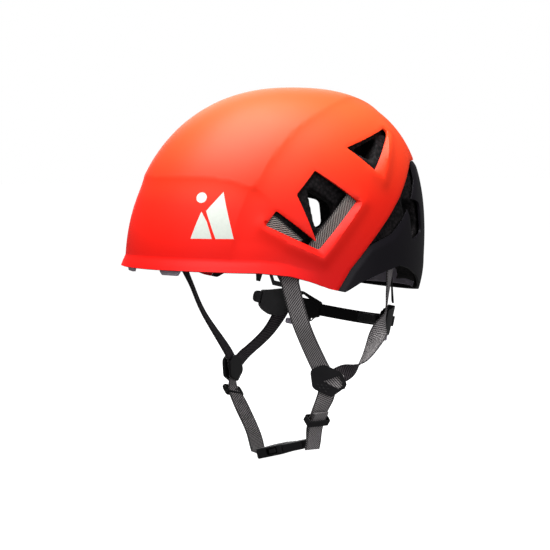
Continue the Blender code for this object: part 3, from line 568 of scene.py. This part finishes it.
def shell_lines():
    """Every line that the shells' mesh follows, as (name, points or dome places, closed)."""
    lines = []
    for side, label in SIDES:
        for name, outline in (("main", MAIN_VENT), ("upper", UPPER_VENT)):
            path = resample(rounded(outline, VENT_CORNER), OUTLINE_STEP, closed=True)
            lines.append((f"{name}_vent_{label}", flank(side, path), True))
        for name, outline in (("main", MAIN_LIP), ("upper", UPPER_LIP)):
            path = resample(outline, OUTLINE_STEP)
            lines.append((f"{name}_lip_{label}", flank(side, path), False))
        for name, outline in (("seam", SEAM), ("rear_edge", REAR_START + REAR_EDGE)):
            lines.append((f"{name}_{label}", flank(side, resample(outline, SEAM_STEP)), False))
        lines.append((f"rear_vent_{label}", rear_vent_points(side), True))
        for name, crease_line in (("crown", CROWN_CREASE), ("wedge", WEDGE_CREASE)):
            mirrored = [(side * x, y, z) for x, y, z in crease_line]
            lines.append((f"{name}_{label}", smooth(mirrored, 9), False))
    for name, (y_start, z_start), z_far in (("seam_back", SEAM[-1], SEAM_BACK_Z),
                                            ("rear_back", REAR_EDGE[-1], REAR_BACK_Z)):
        start = locate(tuple(side_point(1, y_start, z_start)))[0]
        turns = np.linspace(start, math.pi - start, 90)
        z = np.full_like(turns, z_start)
        for _ in range(4):
            y = dome_points(SHELL, turns, z)[:, 1]
            z = z_start + (z_far - z_start) * (y - y_start) / (BACK_Y - y_start)
        lines.append((name, [tuple(p) for p in dome_points(SHELL, turns, z)], False))
    lines += [(f"mark_{i}", points, True) for i, points in enumerate(mark_outlines())]
    brim = np.linspace(-math.pi + 0.25, -0.25, 330)
    lines.append(("brim", (brim, brim_rho(brim)), False))
    return lines


def brim_rho(turn):
    """Rho of the line where the brim's flare begins."""
    rim = rim_height(turn)
    height = FLARE_HEIGHT / (SHELL["height"] - rim)
    return np.arccos(height ** (1 / RING_SPREAD)) / (math.pi / 2)


def distance_to(points, queries):
    """Distance from each query to the nearest of the points."""
    tree = kdtree.KDTree(len(points))
    for i, p in enumerate(points):
        tree.insert(p, i)
    tree.balance()
    return np.array([tree.find(q)[2] for q in queries])


def shell_surface():
    """One triangulated dome whose edges follow every line, with the lines' names."""
    coords, edges, near = [], [], []
    lines = {}
    for name, points, closed in shell_lines():
        if isinstance(points, tuple):
            spots = list(zip(*points))
        else:
            spots = [locate(p) for p in points]
        first = len(coords)
        for turn, rho in spots:
            coords.append((rho * math.cos(turn), rho * math.sin(turn)))
        turns, rhos = np.array(spots).T
        on_dome = bowl_points(turns, rhos, flared=False)
        lines[name] = [tuple(p) for p in resample(on_dome, DENSE, closed)]
        near.extend(lines[name])
        edges += [(i, i + 1) for i in range(first, len(coords) - 1)]
        if closed:
            edges.append((len(coords) - 1, first))
    grid = [(0.0, 0.0)]
    for k in range(1, MESH_RINGS + 1):
        rho = k / MESH_RINGS
        count = max(8, round(rho ** 0.8 * 400))
        grid += [(2 * math.pi * (i + 0.5 * (k % 2)) / count, rho) for i in range(count)]
    turns, rhos = np.array(grid).T
    spots = bowl_points(turns, rhos, flared=False)
    keep = (distance_to(near, spots) > MESH_SPACING * 0.42) | (rhos > 0.9999)
    first = len(coords)
    for turn, rho in zip(turns[keep], rhos[keep]):
        coords.append((rho * math.cos(turn), rho * math.sin(turn)))
    ring = [i for i in range(first, len(coords)) if math.hypot(*coords[i]) > 0.9999]
    edges += list(zip(ring, ring[1:] + ring[:1]))
    result = geometry.delaunay_2d_cdt([Vector(c) for c in coords], edges, [], 0, 1e-7)
    flat = np.array([tuple(v) for v in result[0]])
    faces = np.array([f for f in result[2] if len(f) == 3])
    turn = np.arctan2(flat[:, 1], flat[:, 0])
    rho = np.hypot(flat[:, 0], flat[:, 1]).clip(0, 1)
    return turn, rho, faces, lines


def vertex_normals(points, faces):
    """Smooth outward normals."""
    a, b, c = (points[faces[:, k]] for k in range(3))
    normal = np.cross(b - a, c - a)
    total = np.zeros_like(points)
    for k in range(3):
        np.add.at(total, faces[:, k], normal)
    total /= np.linalg.norm(total, axis=1, keepdims=True) + 1e-12
    middle = points - np.array([0, 0, 0.02])
    flip = np.sign((total * middle).sum(axis=1, keepdims=True))
    return total * np.where(flip == 0, 1, flip)


def hollow(name, outer, inner, faces):
    """A closed mesh from an outer and an inner skin with the same faces, walled at their edges."""
    used, index = np.unique(faces, return_inverse=True)
    faces = index.reshape(-1, 3)
    outer, inner = outer[used], inner[used]
    count = len(used)
    ends = np.concatenate([faces[:, [0, 1]], faces[:, [1, 2]], faces[:, [2, 0]]])
    keys = np.sort(ends, axis=1)
    _, position, uses = np.unique(keys, axis=0, return_inverse=True, return_counts=True)
    border = ends[uses[position.reshape(-1)] == 1]
    mesh = bpy.data.meshes.new(name)
    polygons = faces.tolist() + (faces[:, ::-1] + count).tolist()
    polygons += [[int(b), int(a), int(a) + count, int(b) + count] for a, b in border]
    mesh.from_pydata(np.concatenate([outer, inner]).tolist(), [], polygons)
    mesh.validate()
    return new_object(name, mesh)


def crease(distance, depth, width):
    """A fold's displacement: straight away from its line, then fading."""
    t = distance / width
    return -depth * t * np.exp(1 - t)


def rolled(distance, depth, width):
    """How far an edge rolls inwards at a distance from it."""
    return depth * np.clip(1 - distance / width, 0, 1)


def panel_creases(base, lines):
    """Displacement around the panels: they stay, and their surroundings fall away from them."""
    x, y, z = base.T
    crown = [lines["crown_left"], lines["crown_right"]]
    plan = [(p[0], p[1]) for p in crown[0]] + [(p[0], p[1]) for p in reversed(crown[1])]
    in_crown = inside(plan, x, y) & (z > CROWN_FLOOR)
    fall = crease(distance_to(crown[0] + crown[1], base), *CROWN_FALL)
    shift = np.where(in_crown, 0.0, fall)
    shift[z < CROWN_FADE] *= np.clip(z[z < CROWN_FADE] / CROWN_FADE, 0, 1)
    wedge = [(p[1], p[2]) for p in WEDGE_CREASE] + WEDGE_END[1:3]
    for side, label in SIDES:
        below = inside(wedge, y, z) & (x * side > 0)
        fall = crease(distance_to(lines[f"wedge_{label}"], base), *WEDGE_FALL)
        open_side = flank(side, resample(WEDGE_END, DENSE))
        fall *= np.clip(distance_to(open_side, base) / WEDGE_FADE, 0, 1)
        shift += np.where(below, fall, 0.0)
    return shift


def vent_lips(shift, base, lines):
    """The displacement with the sloping lips beside the vents and the ridges along them."""
    x, y, z = base.T
    for side, label in SIDES:
        for name, lip in (("main", MAIN_LIP + MAIN_LIP_INSIDE),
                          ("upper", UPPER_LIP + UPPER_LIP_INSIDE)):
            in_lip = inside(lip, y, z) & (x * side > 0)
            to_lip = distance_to(lines[f"{name}_lip_{label}"], base)
            to_vent = distance_to(lines[f"{name}_vent_{label}"], base)
            slope = to_lip / (to_lip + to_vent + 1e-9)
            slope *= np.clip((to_lip + to_vent) / 0.003, 0, 1)
            ridge = LIP_RIDGE * np.exp(-(to_lip / 0.007) ** 2) * (x * side > 0)
            ridge *= np.clip(to_vent / 0.004, 0, 1)
            shift = shift + ridge - np.where(in_lip, LIP_DROP * slope, 0.0)
    return shift


def shell_regions(middle):
    """Which faces belong to the upper and to the rear shell, by their middles."""
    x, y, z = middle.T
    behind = SEAM + [(BACK_Y, SEAM_BACK_Z), (BACK_Y, BELOW_Z), (SEAM[0][0], BELOW_Z)]
    is_upper = ~inside(behind, y, z)
    for outline in (MAIN_VENT, UPPER_VENT):
        is_upper &= ~inside(rounded(outline, VENT_CORNER), y, z)
    rear = REAR_START + REAR_EDGE + [(BACK_Y, REAR_BACK_Z), (BACK_Y, BELOW_Z),
                                     (SEAM[0][0] + GAP, BELOW_Z)]
    is_rear = inside(rear, y, z)
    cos, sin = math.cos(REAR_VENT_TURN), math.sin(REAR_VENT_TURN)
    across, out = y * cos - np.abs(x) * sin, np.abs(x) * cos + y * sin
    is_rear &= ~(inside(rounded(REAR_VENT, REAR_VENT_CORNER), across, z) & (out > 0.07))
    return is_upper, is_rear


def build_shells():
    """Upper and rear shell with panel creases, flared brim, sloping vent lips and the mark."""
    turn, rho, faces, lines = shell_surface()
    points = bowl_points(turn, rho)
    a, b, c = (points[faces[:, k]] for k in range(3))
    middle = (a + b + c) / 3 - np.array([0, 0, 0.02])
    wrong = (np.cross(b - a, c - a) * middle).sum(axis=1) < 0
    faces[wrong] = faces[wrong][:, ::-1]
    normals = vertex_normals(points, faces)
    base = bowl_points(turn, rho, flared=False)
    shift = vent_lips(panel_creases(base, lines), base, lines)

    cut = [p for name, line in lines.items()
           if name.startswith("seam") or "_vent_" in name for p in line]
    rear_edge = [p for name, line in lines.items()
                 if name.startswith("rear_edge") or name == "rear_back" for p in line]
    near_cut = distance_to(cut, base)
    shift -= rolled(near_cut, 0.00035, 0.0008)
    shift_rear = -rolled(distance_to(rear_edge, base), 0.0013, 0.0050)
    outer = points + normals * shift[:, None]
    outer_rear = points + normals * (shift_rear - rolled(near_cut, 0.0003, 0.0008))[:, None]
    inner = points - normals * np.clip(0.0005 - shift, SKIN, 0.0029)[:, None]
    inner_rear = points - normals * np.maximum(SKIN, 0.0010 - shift_rear)[:, None]

    is_upper, is_rear = shell_regions(base[faces].mean(axis=1))
    upper = hollow("upper_shell_skin", outer, inner, faces[is_upper])
    dress(upper, "orange", "upper_shell", None, "upper_shell", angle=28)
    upper.data.materials.append(MATERIALS["ink"].material)
    disc = np.stack([rho * np.cos(turn), rho * np.sin(turn)], axis=1)[faces[is_upper]].mean(axis=1)
    for outline in mark_outlines():
        flat = [(r * math.cos(t), r * math.sin(t)) for t, r in map(locate, outline)]
        for i in np.nonzero(inside(flat, disc[:, 0], disc[:, 1]))[0]:
            upper.data.polygons[int(i)].material_index = 1
    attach(upper, "shell")

    tail = hollow("rear_shell_skin", outer_rear, inner_rear, faces[is_rear])
    dress(tail, "black", "rear_shell", "shell", "rear_shell", angle=28)


# ---- webbing ----
def smooth(points, per_span):
    """A smooth line through the points, with that many steps to a span (Catmull-Rom)."""
    points = [Vector(p) for p in points]
    ends = [2 * points[0] - points[1], *points, 2 * points[-1] - points[-2]]
    line = []
    for a, b, c, d in zip(ends, ends[1:], ends[2:], ends[3:]):
        for k in range(per_span):
            t = k / per_span
            line.append(0.5 * (2 * b + (c - a) * t + (2 * a - 5 * b + 4 * c - d) * t ** 2
                               + (3 * b - a - 3 * c + d) * t ** 3))
    return line + [points[-1]]


# Cross-section of the webbing, in half widths and half thicknesses: one face, then the other.
FACE = [(-1.0, -0.25), (-0.975, -0.75), (-0.92, -1.0), (-0.5, -0.92), (0.0, -0.88), (0.5, -0.92),
        (0.92, -1.0), (0.975, -0.75), (1.0, -0.25)]
PROFILE = FACE + [(-a, -b) for a, b in FACE]
RIBBON_STEPS = 12


def ribbon(name, route, across, outward, body, nodes, width=WEB_WIDTH, thickness=WEB_THICK,
           kept=(0, None), finish="webbing"):
    """Woven strap along a route; the face towards outward is grey and the other one dark.
    kept is the stretch of the route's fine points that the strap covers."""
    line = smooth(route, RIBBON_STEPS)
    widths = smooth(across, RIBBON_STEPS)
    bm = bmesh.new()
    layer = bm.loops.layers.uv.new("UVMap")
    rings, lengths, length = [], [], 0.0
    for i, point in enumerate(line):
        length += (point - line[i - 1]).length if i else 0.0
        along = (line[min(i + 1, len(line) - 1)] - line[max(i - 1, 0)]).normalized()
        side = (widths[i] - along * widths[i].dot(along)).normalized()
        up = along.cross(side)
        if i == 0:
            flip = -1 if up.dot(outward) < 0 else 1
        rings.append([bm.verts.new(point + side * width / 2 * a + up * flip * thickness / 2 * b)
                      for a, b in PROFILE])
        lengths.append(length)
    first, last = kept
    bmesh.ops.delete(bm, geom=[v for ring in rings[:first] + (rings[last:] if last else [])
                               for v in ring], context="VERTS")
    rings, lengths = rings[first:last], lengths[first:last]
    count = len(PROFILE)
    for i, (ring, following) in enumerate(zip(rings, rings[1:])):
        for k in range(count):
            after = (k + 1) % count
            face = bm.faces.new((ring[k], ring[after], following[after], following[k]))
            middle = (PROFILE[k][1] + PROFILE[after][1]) / 2
            face.material_index = 0 if middle > -0.3 else 1
            spots = ((PROFILE[k][0], lengths[i]), (PROFILE[after][0], lengths[i]),
                     (PROFILE[after][0], lengths[i + 1]), (PROFILE[k][0], lengths[i + 1]))
            for loop, (u, v) in zip(face.loops, spots):
                loop[layer].uv = (u * width / 2, v)
    bm.faces.new(rings[0])
    bm.faces.new(rings[-1])
    bmesh.ops.recalc_face_normals(bm, faces=bm.faces)
    obj = new_object(name, bm)
    indices = [p.material_index for p in obj.data.polygons]
    dress(obj, finish, "webbing", None, *nodes, angle=60)
    obj.data.materials.append(MATERIALS["webbing_inner"].material)
    obj.data.polygons.foreach_set("material_index", indices)
    if body:
        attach(obj, body)
    return obj


def build_side_webbing():
    """Webbing between shell and foam, crossing the side vents."""
    inset = (SKIN + FOAM_INSET) / 2 + 0.0002
    routes = {"front": [(-0.090, 0.053), (-0.074, 0.039), (-0.061, 0.027), (-0.049, 0.016)],
              "rear": [(0.022, 0.072), (0.004, 0.053), (-0.015, 0.033), (-0.034, 0.012)]}
    for side, label in SIDES:
        for which, route in routes.items():
            points = [side_point(side, y, z, inset) for y, z in route]
            across = []
            for i, (y, z) in enumerate(route):
                along = points[min(i + 1, 3)] - points[max(i - 1, 0)]
                rise = side_point(side, y, z + 0.002, inset) - points[i]
                run = side_point(side, y + 0.002, z, inset) - points[i]
                across.append(along.cross(run.cross(rise)).normalized())
            # These strips take the darker copy of the webbing, painted shade inside the vents.
            ribbon(f"vent_webbing_{which}_{label}", points, across, Vector((side, 0, 0.2)), "shell",
                   [f"side_webbing_{which}_{label}"], WEB_WIDTH, 0.0010, finish="vent_webbing")


def buckle_frame():
    """The buckle's own frame: X along the strap towards the left, Z its flat side, upwards."""
    return (Matrix.Translation(BUCKLE_CENTRE) @ Matrix.Rotation(BUCKLE_YAW, 4, "Z")
            @ Matrix.Rotation(BUCKLE_PITCH, 4, "Y"))


def adjuster_frame(side):
    """Frame of a strap adjuster: X to its rear end, Y up and Z away from the face."""
    c, s = math.cos(ADJUSTER_TURN), math.sin(ADJUSTER_TURN)
    return Matrix.Translation(ADJUSTER[side]) @ Matrix(
        ((side * s, 0, side * c, 0), (c, 0, -s, 0), (0, 1, 0, 0), (0, 0, 0, 1)))


def turned_across(side, degrees, rise=0.0):
    """A strap's width direction, turned from fore-and-aft."""
    turn = math.radians(degrees)
    return Vector((side * math.sin(turn), math.cos(turn), rise))


REAR_ROUTES = {
    1: [(0.0815, 0.0570, -0.0060), (0.0775, 0.0575, -0.0260), (0.0760, 0.0560, -0.0460),
        (0.0815, 0.0440, -0.0640), (0.0930, 0.0210, -0.0840)],
    -1: [(-0.0830, 0.0570, -0.0060), (-0.0845, 0.0620, -0.0240), (-0.0865, 0.0560, -0.0480),
         (-0.0870, 0.0380, -0.0740), (-0.0930, 0.0170, -0.0940)]}
FRONT_TURNS = {1: (20, 24, 32, 38), -1: (20, 36, 48, 46)}
REAR_TURNS = {1: [(-22, 0.0), (-34, 0.0), (-46, 0.0), (-50, 0.0), (10, 0.3), (70, 0.6)],
              -1: [(-22, 0.0), (-24, 0.0), (-26, 0.0), (-10, -0.2), (20, -0.6), (36, -0.9)]}


def build_straps():
    """Front, rear and chin webbing on each side, ending inside the strap adjusters."""
    for side, label in SIDES:
        place = adjuster_frame(side)
        along, up = place.to_3x3().col[0], Vector((0, 0, 1))
        top_front, top_rear = (Vector((side * x, y, STRAP_TOP)) for x, y in POCKETS)
        front = [top_front, (side * 0.0900, -0.0520, -0.0080), (side * 0.0865, -0.0450, -0.0280),
                 (side * 0.0835, -0.0340, -0.0540), place @ Vector((-0.0095, 0.0150, 0.0010)),
                 place @ Vector((-0.0026, 0.0022, 0.0002))]
        widths = [turned_across(side, turn) for turn in FRONT_TURNS[side]]
        strap = ribbon(f"front_webbing_{label}", front,
                       widths + [along + 0.25 * up, along + 0.2 * up],
                       Vector((side, 0, 0)), None, [f"front_strap_{label}"])
        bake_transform(strap)
        rear = [top_rear, *REAR_ROUTES[side], place @ Vector((0.0072, 0.0030, 0))]
        widths = [turned_across(side, *turn) for turn in REAR_TURNS[side]]
        end = 0.35 * along + 0.9 * up
        strap = ribbon(f"rear_webbing_{label}", rear, widths + [end if side > 0 else -end],
                       Vector((side, 0, 0)), None, [f"rear_strap_{label}"])
        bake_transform(strap)

    buckle = buckle_frame()
    left = adjuster_frame(1)
    start, end = left @ Vector((-0.0010, -0.0045, 0)), buckle @ Vector((0.0305, 0, 0))
    chin = [start, left @ Vector((-0.0030, -0.0150, -0.0010)), (0.0650, -0.0055, -0.1290),
            (0.0530, -0.0035, -0.1430), end]
    widths = [turned_across(1, 36), turned_across(1, 32), turned_across(1, 12), (-0.2, 1, 0),
              (-0.45, 0.89, 0)]
    strap = ribbon("chin_webbing_left_upper", chin, widths, Vector((1, 0, 0)), None,
                   ["chin_strap_left"], kept=(0, 31))
    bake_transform(strap)
    strap = ribbon("chin_webbing_left_lower", chin, widths, Vector((1, 0, 0)), None, [],
                   kept=(30, None))
    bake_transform(strap)
    tail = [Vector(p) + Vector((0.0030, 0, -0.0012)) for p in
            ((0.0655, -0.0055, -0.1280), (0.0560, -0.0050, -0.1420), (0.0510, -0.0040, -0.1560),
             (0.0490, -0.0040, -0.1620))]
    strap = ribbon("webbing_tail", tail, [(0, 1, 0)] * 4, Vector((1, 0, 0)), None, ["strap_tail"])
    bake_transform(strap)
    right = adjuster_frame(-1)
    chin = [right @ Vector((-0.0010, -0.0045, 0)), right @ Vector((-0.0015, -0.0180, -0.0004)),
            (-0.0600, -0.0090, -0.1370), (-0.0330, -0.0120, -0.1590),
            buckle @ Vector((-0.0255, 0, 0))]
    widths = [turned_across(-1, 36), turned_across(-1, 30), (0, 1, 0), (-0.1, 1, 0),
              (-0.45, 0.89, 0)]
    strap = ribbon("chin_webbing_right", chin, widths, Vector((1, 0, 0)), None,
                   ["chin_strap_right"])
    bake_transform(strap)


# ---- moulded plastic ----
def moulded(node, body, radius, finish="plastic", slot="cradle_plastic", details=None):
    """A piece with softened edges over its CAD node's shape, with any details joined to it."""
    bm = bmesh.new()
    bm.from_mesh(frame["nodes"][node].data)
    bm.transform(frame["nodes"][node].matrix_world)
    bmesh.ops.remove_doubles(bm, verts=bm.verts, dist=2e-6)
    bmesh.ops.dissolve_limit(bm, angle_limit=math.radians(3), verts=bm.verts, edges=bm.edges)
    obj = new_object(f"{node}_moulding", bm)
    bevel = obj.modifiers.new("edges", "BEVEL")
    bevel.width = radius
    bevel.segments = 2
    bevel.limit_method = "ANGLE"
    bevel.angle_limit = math.radians(38)
    bevel.use_clamp_overlap = True
    apply_modifiers(obj)
    if details is not None:
        whole = bmesh.new()
        whole.from_mesh(obj.data)
        extra = bpy.data.meshes.new("details")
        details.to_mesh(extra)
        details.free()
        whole.from_mesh(extra)
        whole.to_mesh(obj.data)
        whole.free()
    dress(obj, finish, slot, None, node)
    obj.modifiers.new("normals", "WEIGHTED_NORMAL").keep_sharp = True
    apply_modifiers(obj)
    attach(obj, body)


def stud(bm, place, radius, height, sides=10):
    """A small domed stud standing on a frame's XY plane."""
    rings = [(1.0, -0.3), (1.0, 0.45), (0.72, 0.85), (0.3, 1.0)]
    loops = [[bm.verts.new(place @ Vector((radius * r * math.cos(2 * math.pi * k / sides),
                                           radius * r * math.sin(2 * math.pi * k / sides),
                                           height * h))) for k in range(sides)] for r, h in rings]
    for low, high in zip(loops, loops[1:]):
        for k in range(sides):
            bm.faces.new((low[k], low[(k + 1) % sides], high[(k + 1) % sides], high[k]))
    bm.faces.new(loops[-1])
    bm.faces.new(list(reversed(loops[0])))


def rib(bm, place, size, slope=0.25):
    """A small raised bar with sloping sides on a frame's XY plane."""
    length, width, height = size
    corners = [(-0.5, -0.5), (0.5, -0.5), (0.5, 0.5), (-0.5, 0.5)]
    inset = slope * width
    low, mid, top = ([bm.verts.new(place @ Vector((a * (length - less), b * (width - less), h)))
                      for a, b in corners]
                     for less, h in ((0, -0.2 * height), (0, 0.5 * height), (inset, height)))
    for lower, upper in ((low, mid), (mid, top)):
        for k in range(4):
            bm.faces.new((lower[k], lower[(k + 1) % 4], upper[(k + 1) % 4], upper[k]))
    bm.faces.new(top)
    bm.faces.new(list(reversed(low)))


def build_adjusters():
    """Strap adjusters with a studded grip, the webbing in their windows, and the keeper."""
    for side, label in SIDES:
        place = adjuster_frame(side)
        grip = bmesh.new()
        for column, row in ((-0.0095, 0), (-0.0060, 0), (-0.0025, 0), (0.0010, 0), (-0.0078, 1),
                            (-0.0043, 1), (-0.0008, 1), (-0.0026, 2)):
            spot = Vector((column, -0.0050 - 0.0026 * row - 0.10 * column, 0.0043))
            stud(grip, place @ Matrix.Translation(spot), 0.00085, 0.00045)
        moulded(f"adjuster_plate_{label}", f"adjuster_{label}", 0.0007, details=grip)
        moulded(f"adjuster_back_{label}", f"adjuster_{label}", 0.0005)
        along, up = place.to_3x3().col[0], Vector((0, 0, 1))
        loop = [place @ Vector((u, -0.0015, 0.0010)) for u in (-0.0065, 0.0000, 0.0065, 0.0130)]
        ribbon(f"window_webbing_{label}", loop, [up + 0.1 * along] * 4, Vector((side, 0, 0)),
               f"adjuster_{label}", [], 0.0128, 0.0009)
    moulded("strap_keeper", "keeper", 0.0004, slot="buckle_plastic")


def build_slider():
    """A small ladder slider on the right chin strap, just below its adjuster."""
    centre = adjuster_frame(-1) @ Vector((-0.0018, -0.0215, -0.0004))
    along = (Vector((-0.0600, -0.0090, -0.1370)) - centre).normalized()
    across = turned_across(-1, 24)
    across = (across - along * across.dot(along)).normalized()
    place = Matrix((across, along, across.cross(along))).transposed().to_4x4()
    place.translation = centre
    bars = bmesh.new()
    for turn in (0, math.pi):
        face = place @ Matrix.Rotation(turn, 4, "X")
        for step in (-1, 0, 1):
            spot = face @ Matrix.Translation((0, 0.0042 * step, 0.0010))
            rib(bars, spot, (0.0178, 0.0021, 0.0013))
        for edge in (-1, 1):
            rib(bars, face @ Matrix.Translation((0.0086 * edge, 0, 0)), (0.0017, 0.0106, 0.0023))
    slider = new_object("strap_slider_right", bars)
    dress(slider, "plastic", "buckle_plastic", "adjuster_right")


def build_buckle():
    """Side-release buckle: ribbed socket, plug and squeeze prongs."""
    place = buckle_frame()
    ribs = bmesh.new()
    for k in range(4):
        spot = place @ Matrix.Translation((-0.0090 + 0.0042 * k, 0, 0.0045))
        rib(ribs, spot, (0.0012, 0.0110, 0.0005))
    moulded("buckle_socket", "shell", 0.0007, slot="buckle_plastic", details=ribs)
    ribs = bmesh.new()
    for k in range(2):
        spot = place @ Matrix.Translation((0.0088 + 0.0028 * k, 0, 0.0038))
        rib(ribs, spot, (0.0010, 0.0130, 0.0004))
    moulded("buckle_plug", "plug", 0.0007, slot="buckle_plastic", details=ribs)
    for label in ("front", "rear"):
        moulded(f"squeeze_prong_{label}", f"prong_{label}", 0.0005, slot="buckle_plastic")


def build_cradle():
    """Band, wings, guides, pawls, arms, pins and anchors of the fit cradle."""
    moulded("nape_band", "cradle", 0.0003)
    for _, label in SIDES:
        moulded(f"cradle_arm_{label}", "cradle", 0.0004)
    for _, label in SIDES:
        wing = f"fit_wing_{label}"
        moulded(f"wing_{label}", wing, 0.0008)
        moulded(f"strap_guide_{label}", wing, 0.0004, "clear", "clear_plastic")
        moulded(f"ratchet_pawl_{label}", f"pawl_{label}", 0.0004)
        moulded(f"cradle_pin_{label}", "shell", 0.0004)
        for which in ("front", "rear"):
            moulded(f"strap_anchor_{which}_{label}", "shell", 0.0003)


# ---- foam, pads and clips ----
def remeshed(node, name, voxel):
    """A copy of a node's shape as an even mesh."""
    mesh = frame["nodes"][node].data.copy()
    mesh.transform(frame["nodes"][node].matrix_world)
    obj = new_object(name, mesh)
    remesh = obj.modifiers.new("voxels", "REMESH")
    remesh.mode = "VOXEL"
    remesh.voxel_size = voxel
    apply_modifiers(obj)
    return obj


def build_foam():
    """The beaded foam liner and its crown puck, with softly rounded edges."""
    for node in ("foam_liner", "crown_puck"):
        obj = remeshed(node, f"{node}_beads", FOAM_VOXEL)
        soften = obj.modifiers.new("soften", "SMOOTH")
        soften.factor = 0.5
        soften.iterations = 2
        apply_modifiers(obj)
        dress(obj, "foam", "foam", "shell", node, angle=180)


def inflate(obj, cap):
    """Fill a pad by cloth simulation, no point moving further than the cap."""
    cloth = obj.modifiers.new("fill", "CLOTH")
    cloth.settings.use_pressure = True
    cloth.settings.uniform_pressure_force = 4.0
    cloth.settings.effector_weights.gravity = 0.0
    cloth.point_cache.frame_start, cloth.point_cache.frame_end = 1, CLOTH_FRAMES
    for step in range(1, CLOTH_FRAMES + 1):
        bpy.context.scene.frame_set(step)
    filled = obj.evaluated_get(bpy.context.evaluated_depsgraph_get()).to_mesh()
    moved = [v.co.copy() for v in filled.vertices]
    obj.modifiers.clear()
    for vert, target in zip(obj.data.vertices, moved):
        shift = target - vert.co
        if shift.length > cap:
            shift *= cap / shift.length
        vert.co += shift
    bpy.context.scene.frame_set(1)


def build_pads():
    """Comfort pads: brushed mesh over thin foam, shrunk a little and then filled out."""
    for node, body in (("brow_pad", "shell"), ("crown_pad", "shell"), ("side_pad_left", "shell"),
                       ("side_pad_right", "shell"), ("nape_pad", "cradle")):
        obj = remeshed(node, f"{node}_cover", PAD_VOXEL)
        shrink = obj.modifiers.new("shrink", "DISPLACE")
        shrink.strength = -PAD_SWELL
        shrink.mid_level = 0.0
        apply_modifiers(obj)
        inflate(obj, PAD_SWELL)
        smoother = obj.modifiers.new("smooth", "SMOOTH")
        smoother.iterations = 3
        obj.modifiers.new("finer", "SUBSURF").levels = 1
        apply_modifiers(obj)
        dress(obj, "cloth", "pad_fabric", None, node, angle=180)
        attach(obj, body)


def build_clips():
    """Clear headlamp clips with rounded edges."""
    for node in ("front_clip_left", "front_clip_right", "rear_clip"):
        moulded(node, "shell", 0.0004, "clear", "clear_plastic")


# ---- kept CAD nodes ----
def paint_nodes():
    """Give every CAD node that still shows its finish."""
    finish = {"upper_shell": "orange", "rear_shell": "black", "foam": "foam",
              "pad_fabric": "cloth", "webbing": "webbing", "clear_plastic": "clear",
              "cradle_plastic": "plastic", "buckle_plastic": "plastic"}
    slots = {p["node"]: p["material_slot"] for p in frame["record"]["subparts"]}
    for name, obj in frame["nodes"].items():
        if obj.hide_render:
            continue
        obj.data.materials.clear()
        obj.data.materials.append(MATERIALS[finish[slots[name]]].material)


MATERIALS = make_materials()
make_stage()
build_shells()
build_side_webbing()
build_straps()
build_adjusters()
build_slider()
build_buckle()
build_cradle()
build_foam()
build_pads()
build_clips()
paint_nodes()

bpy.context.view_layer.update()
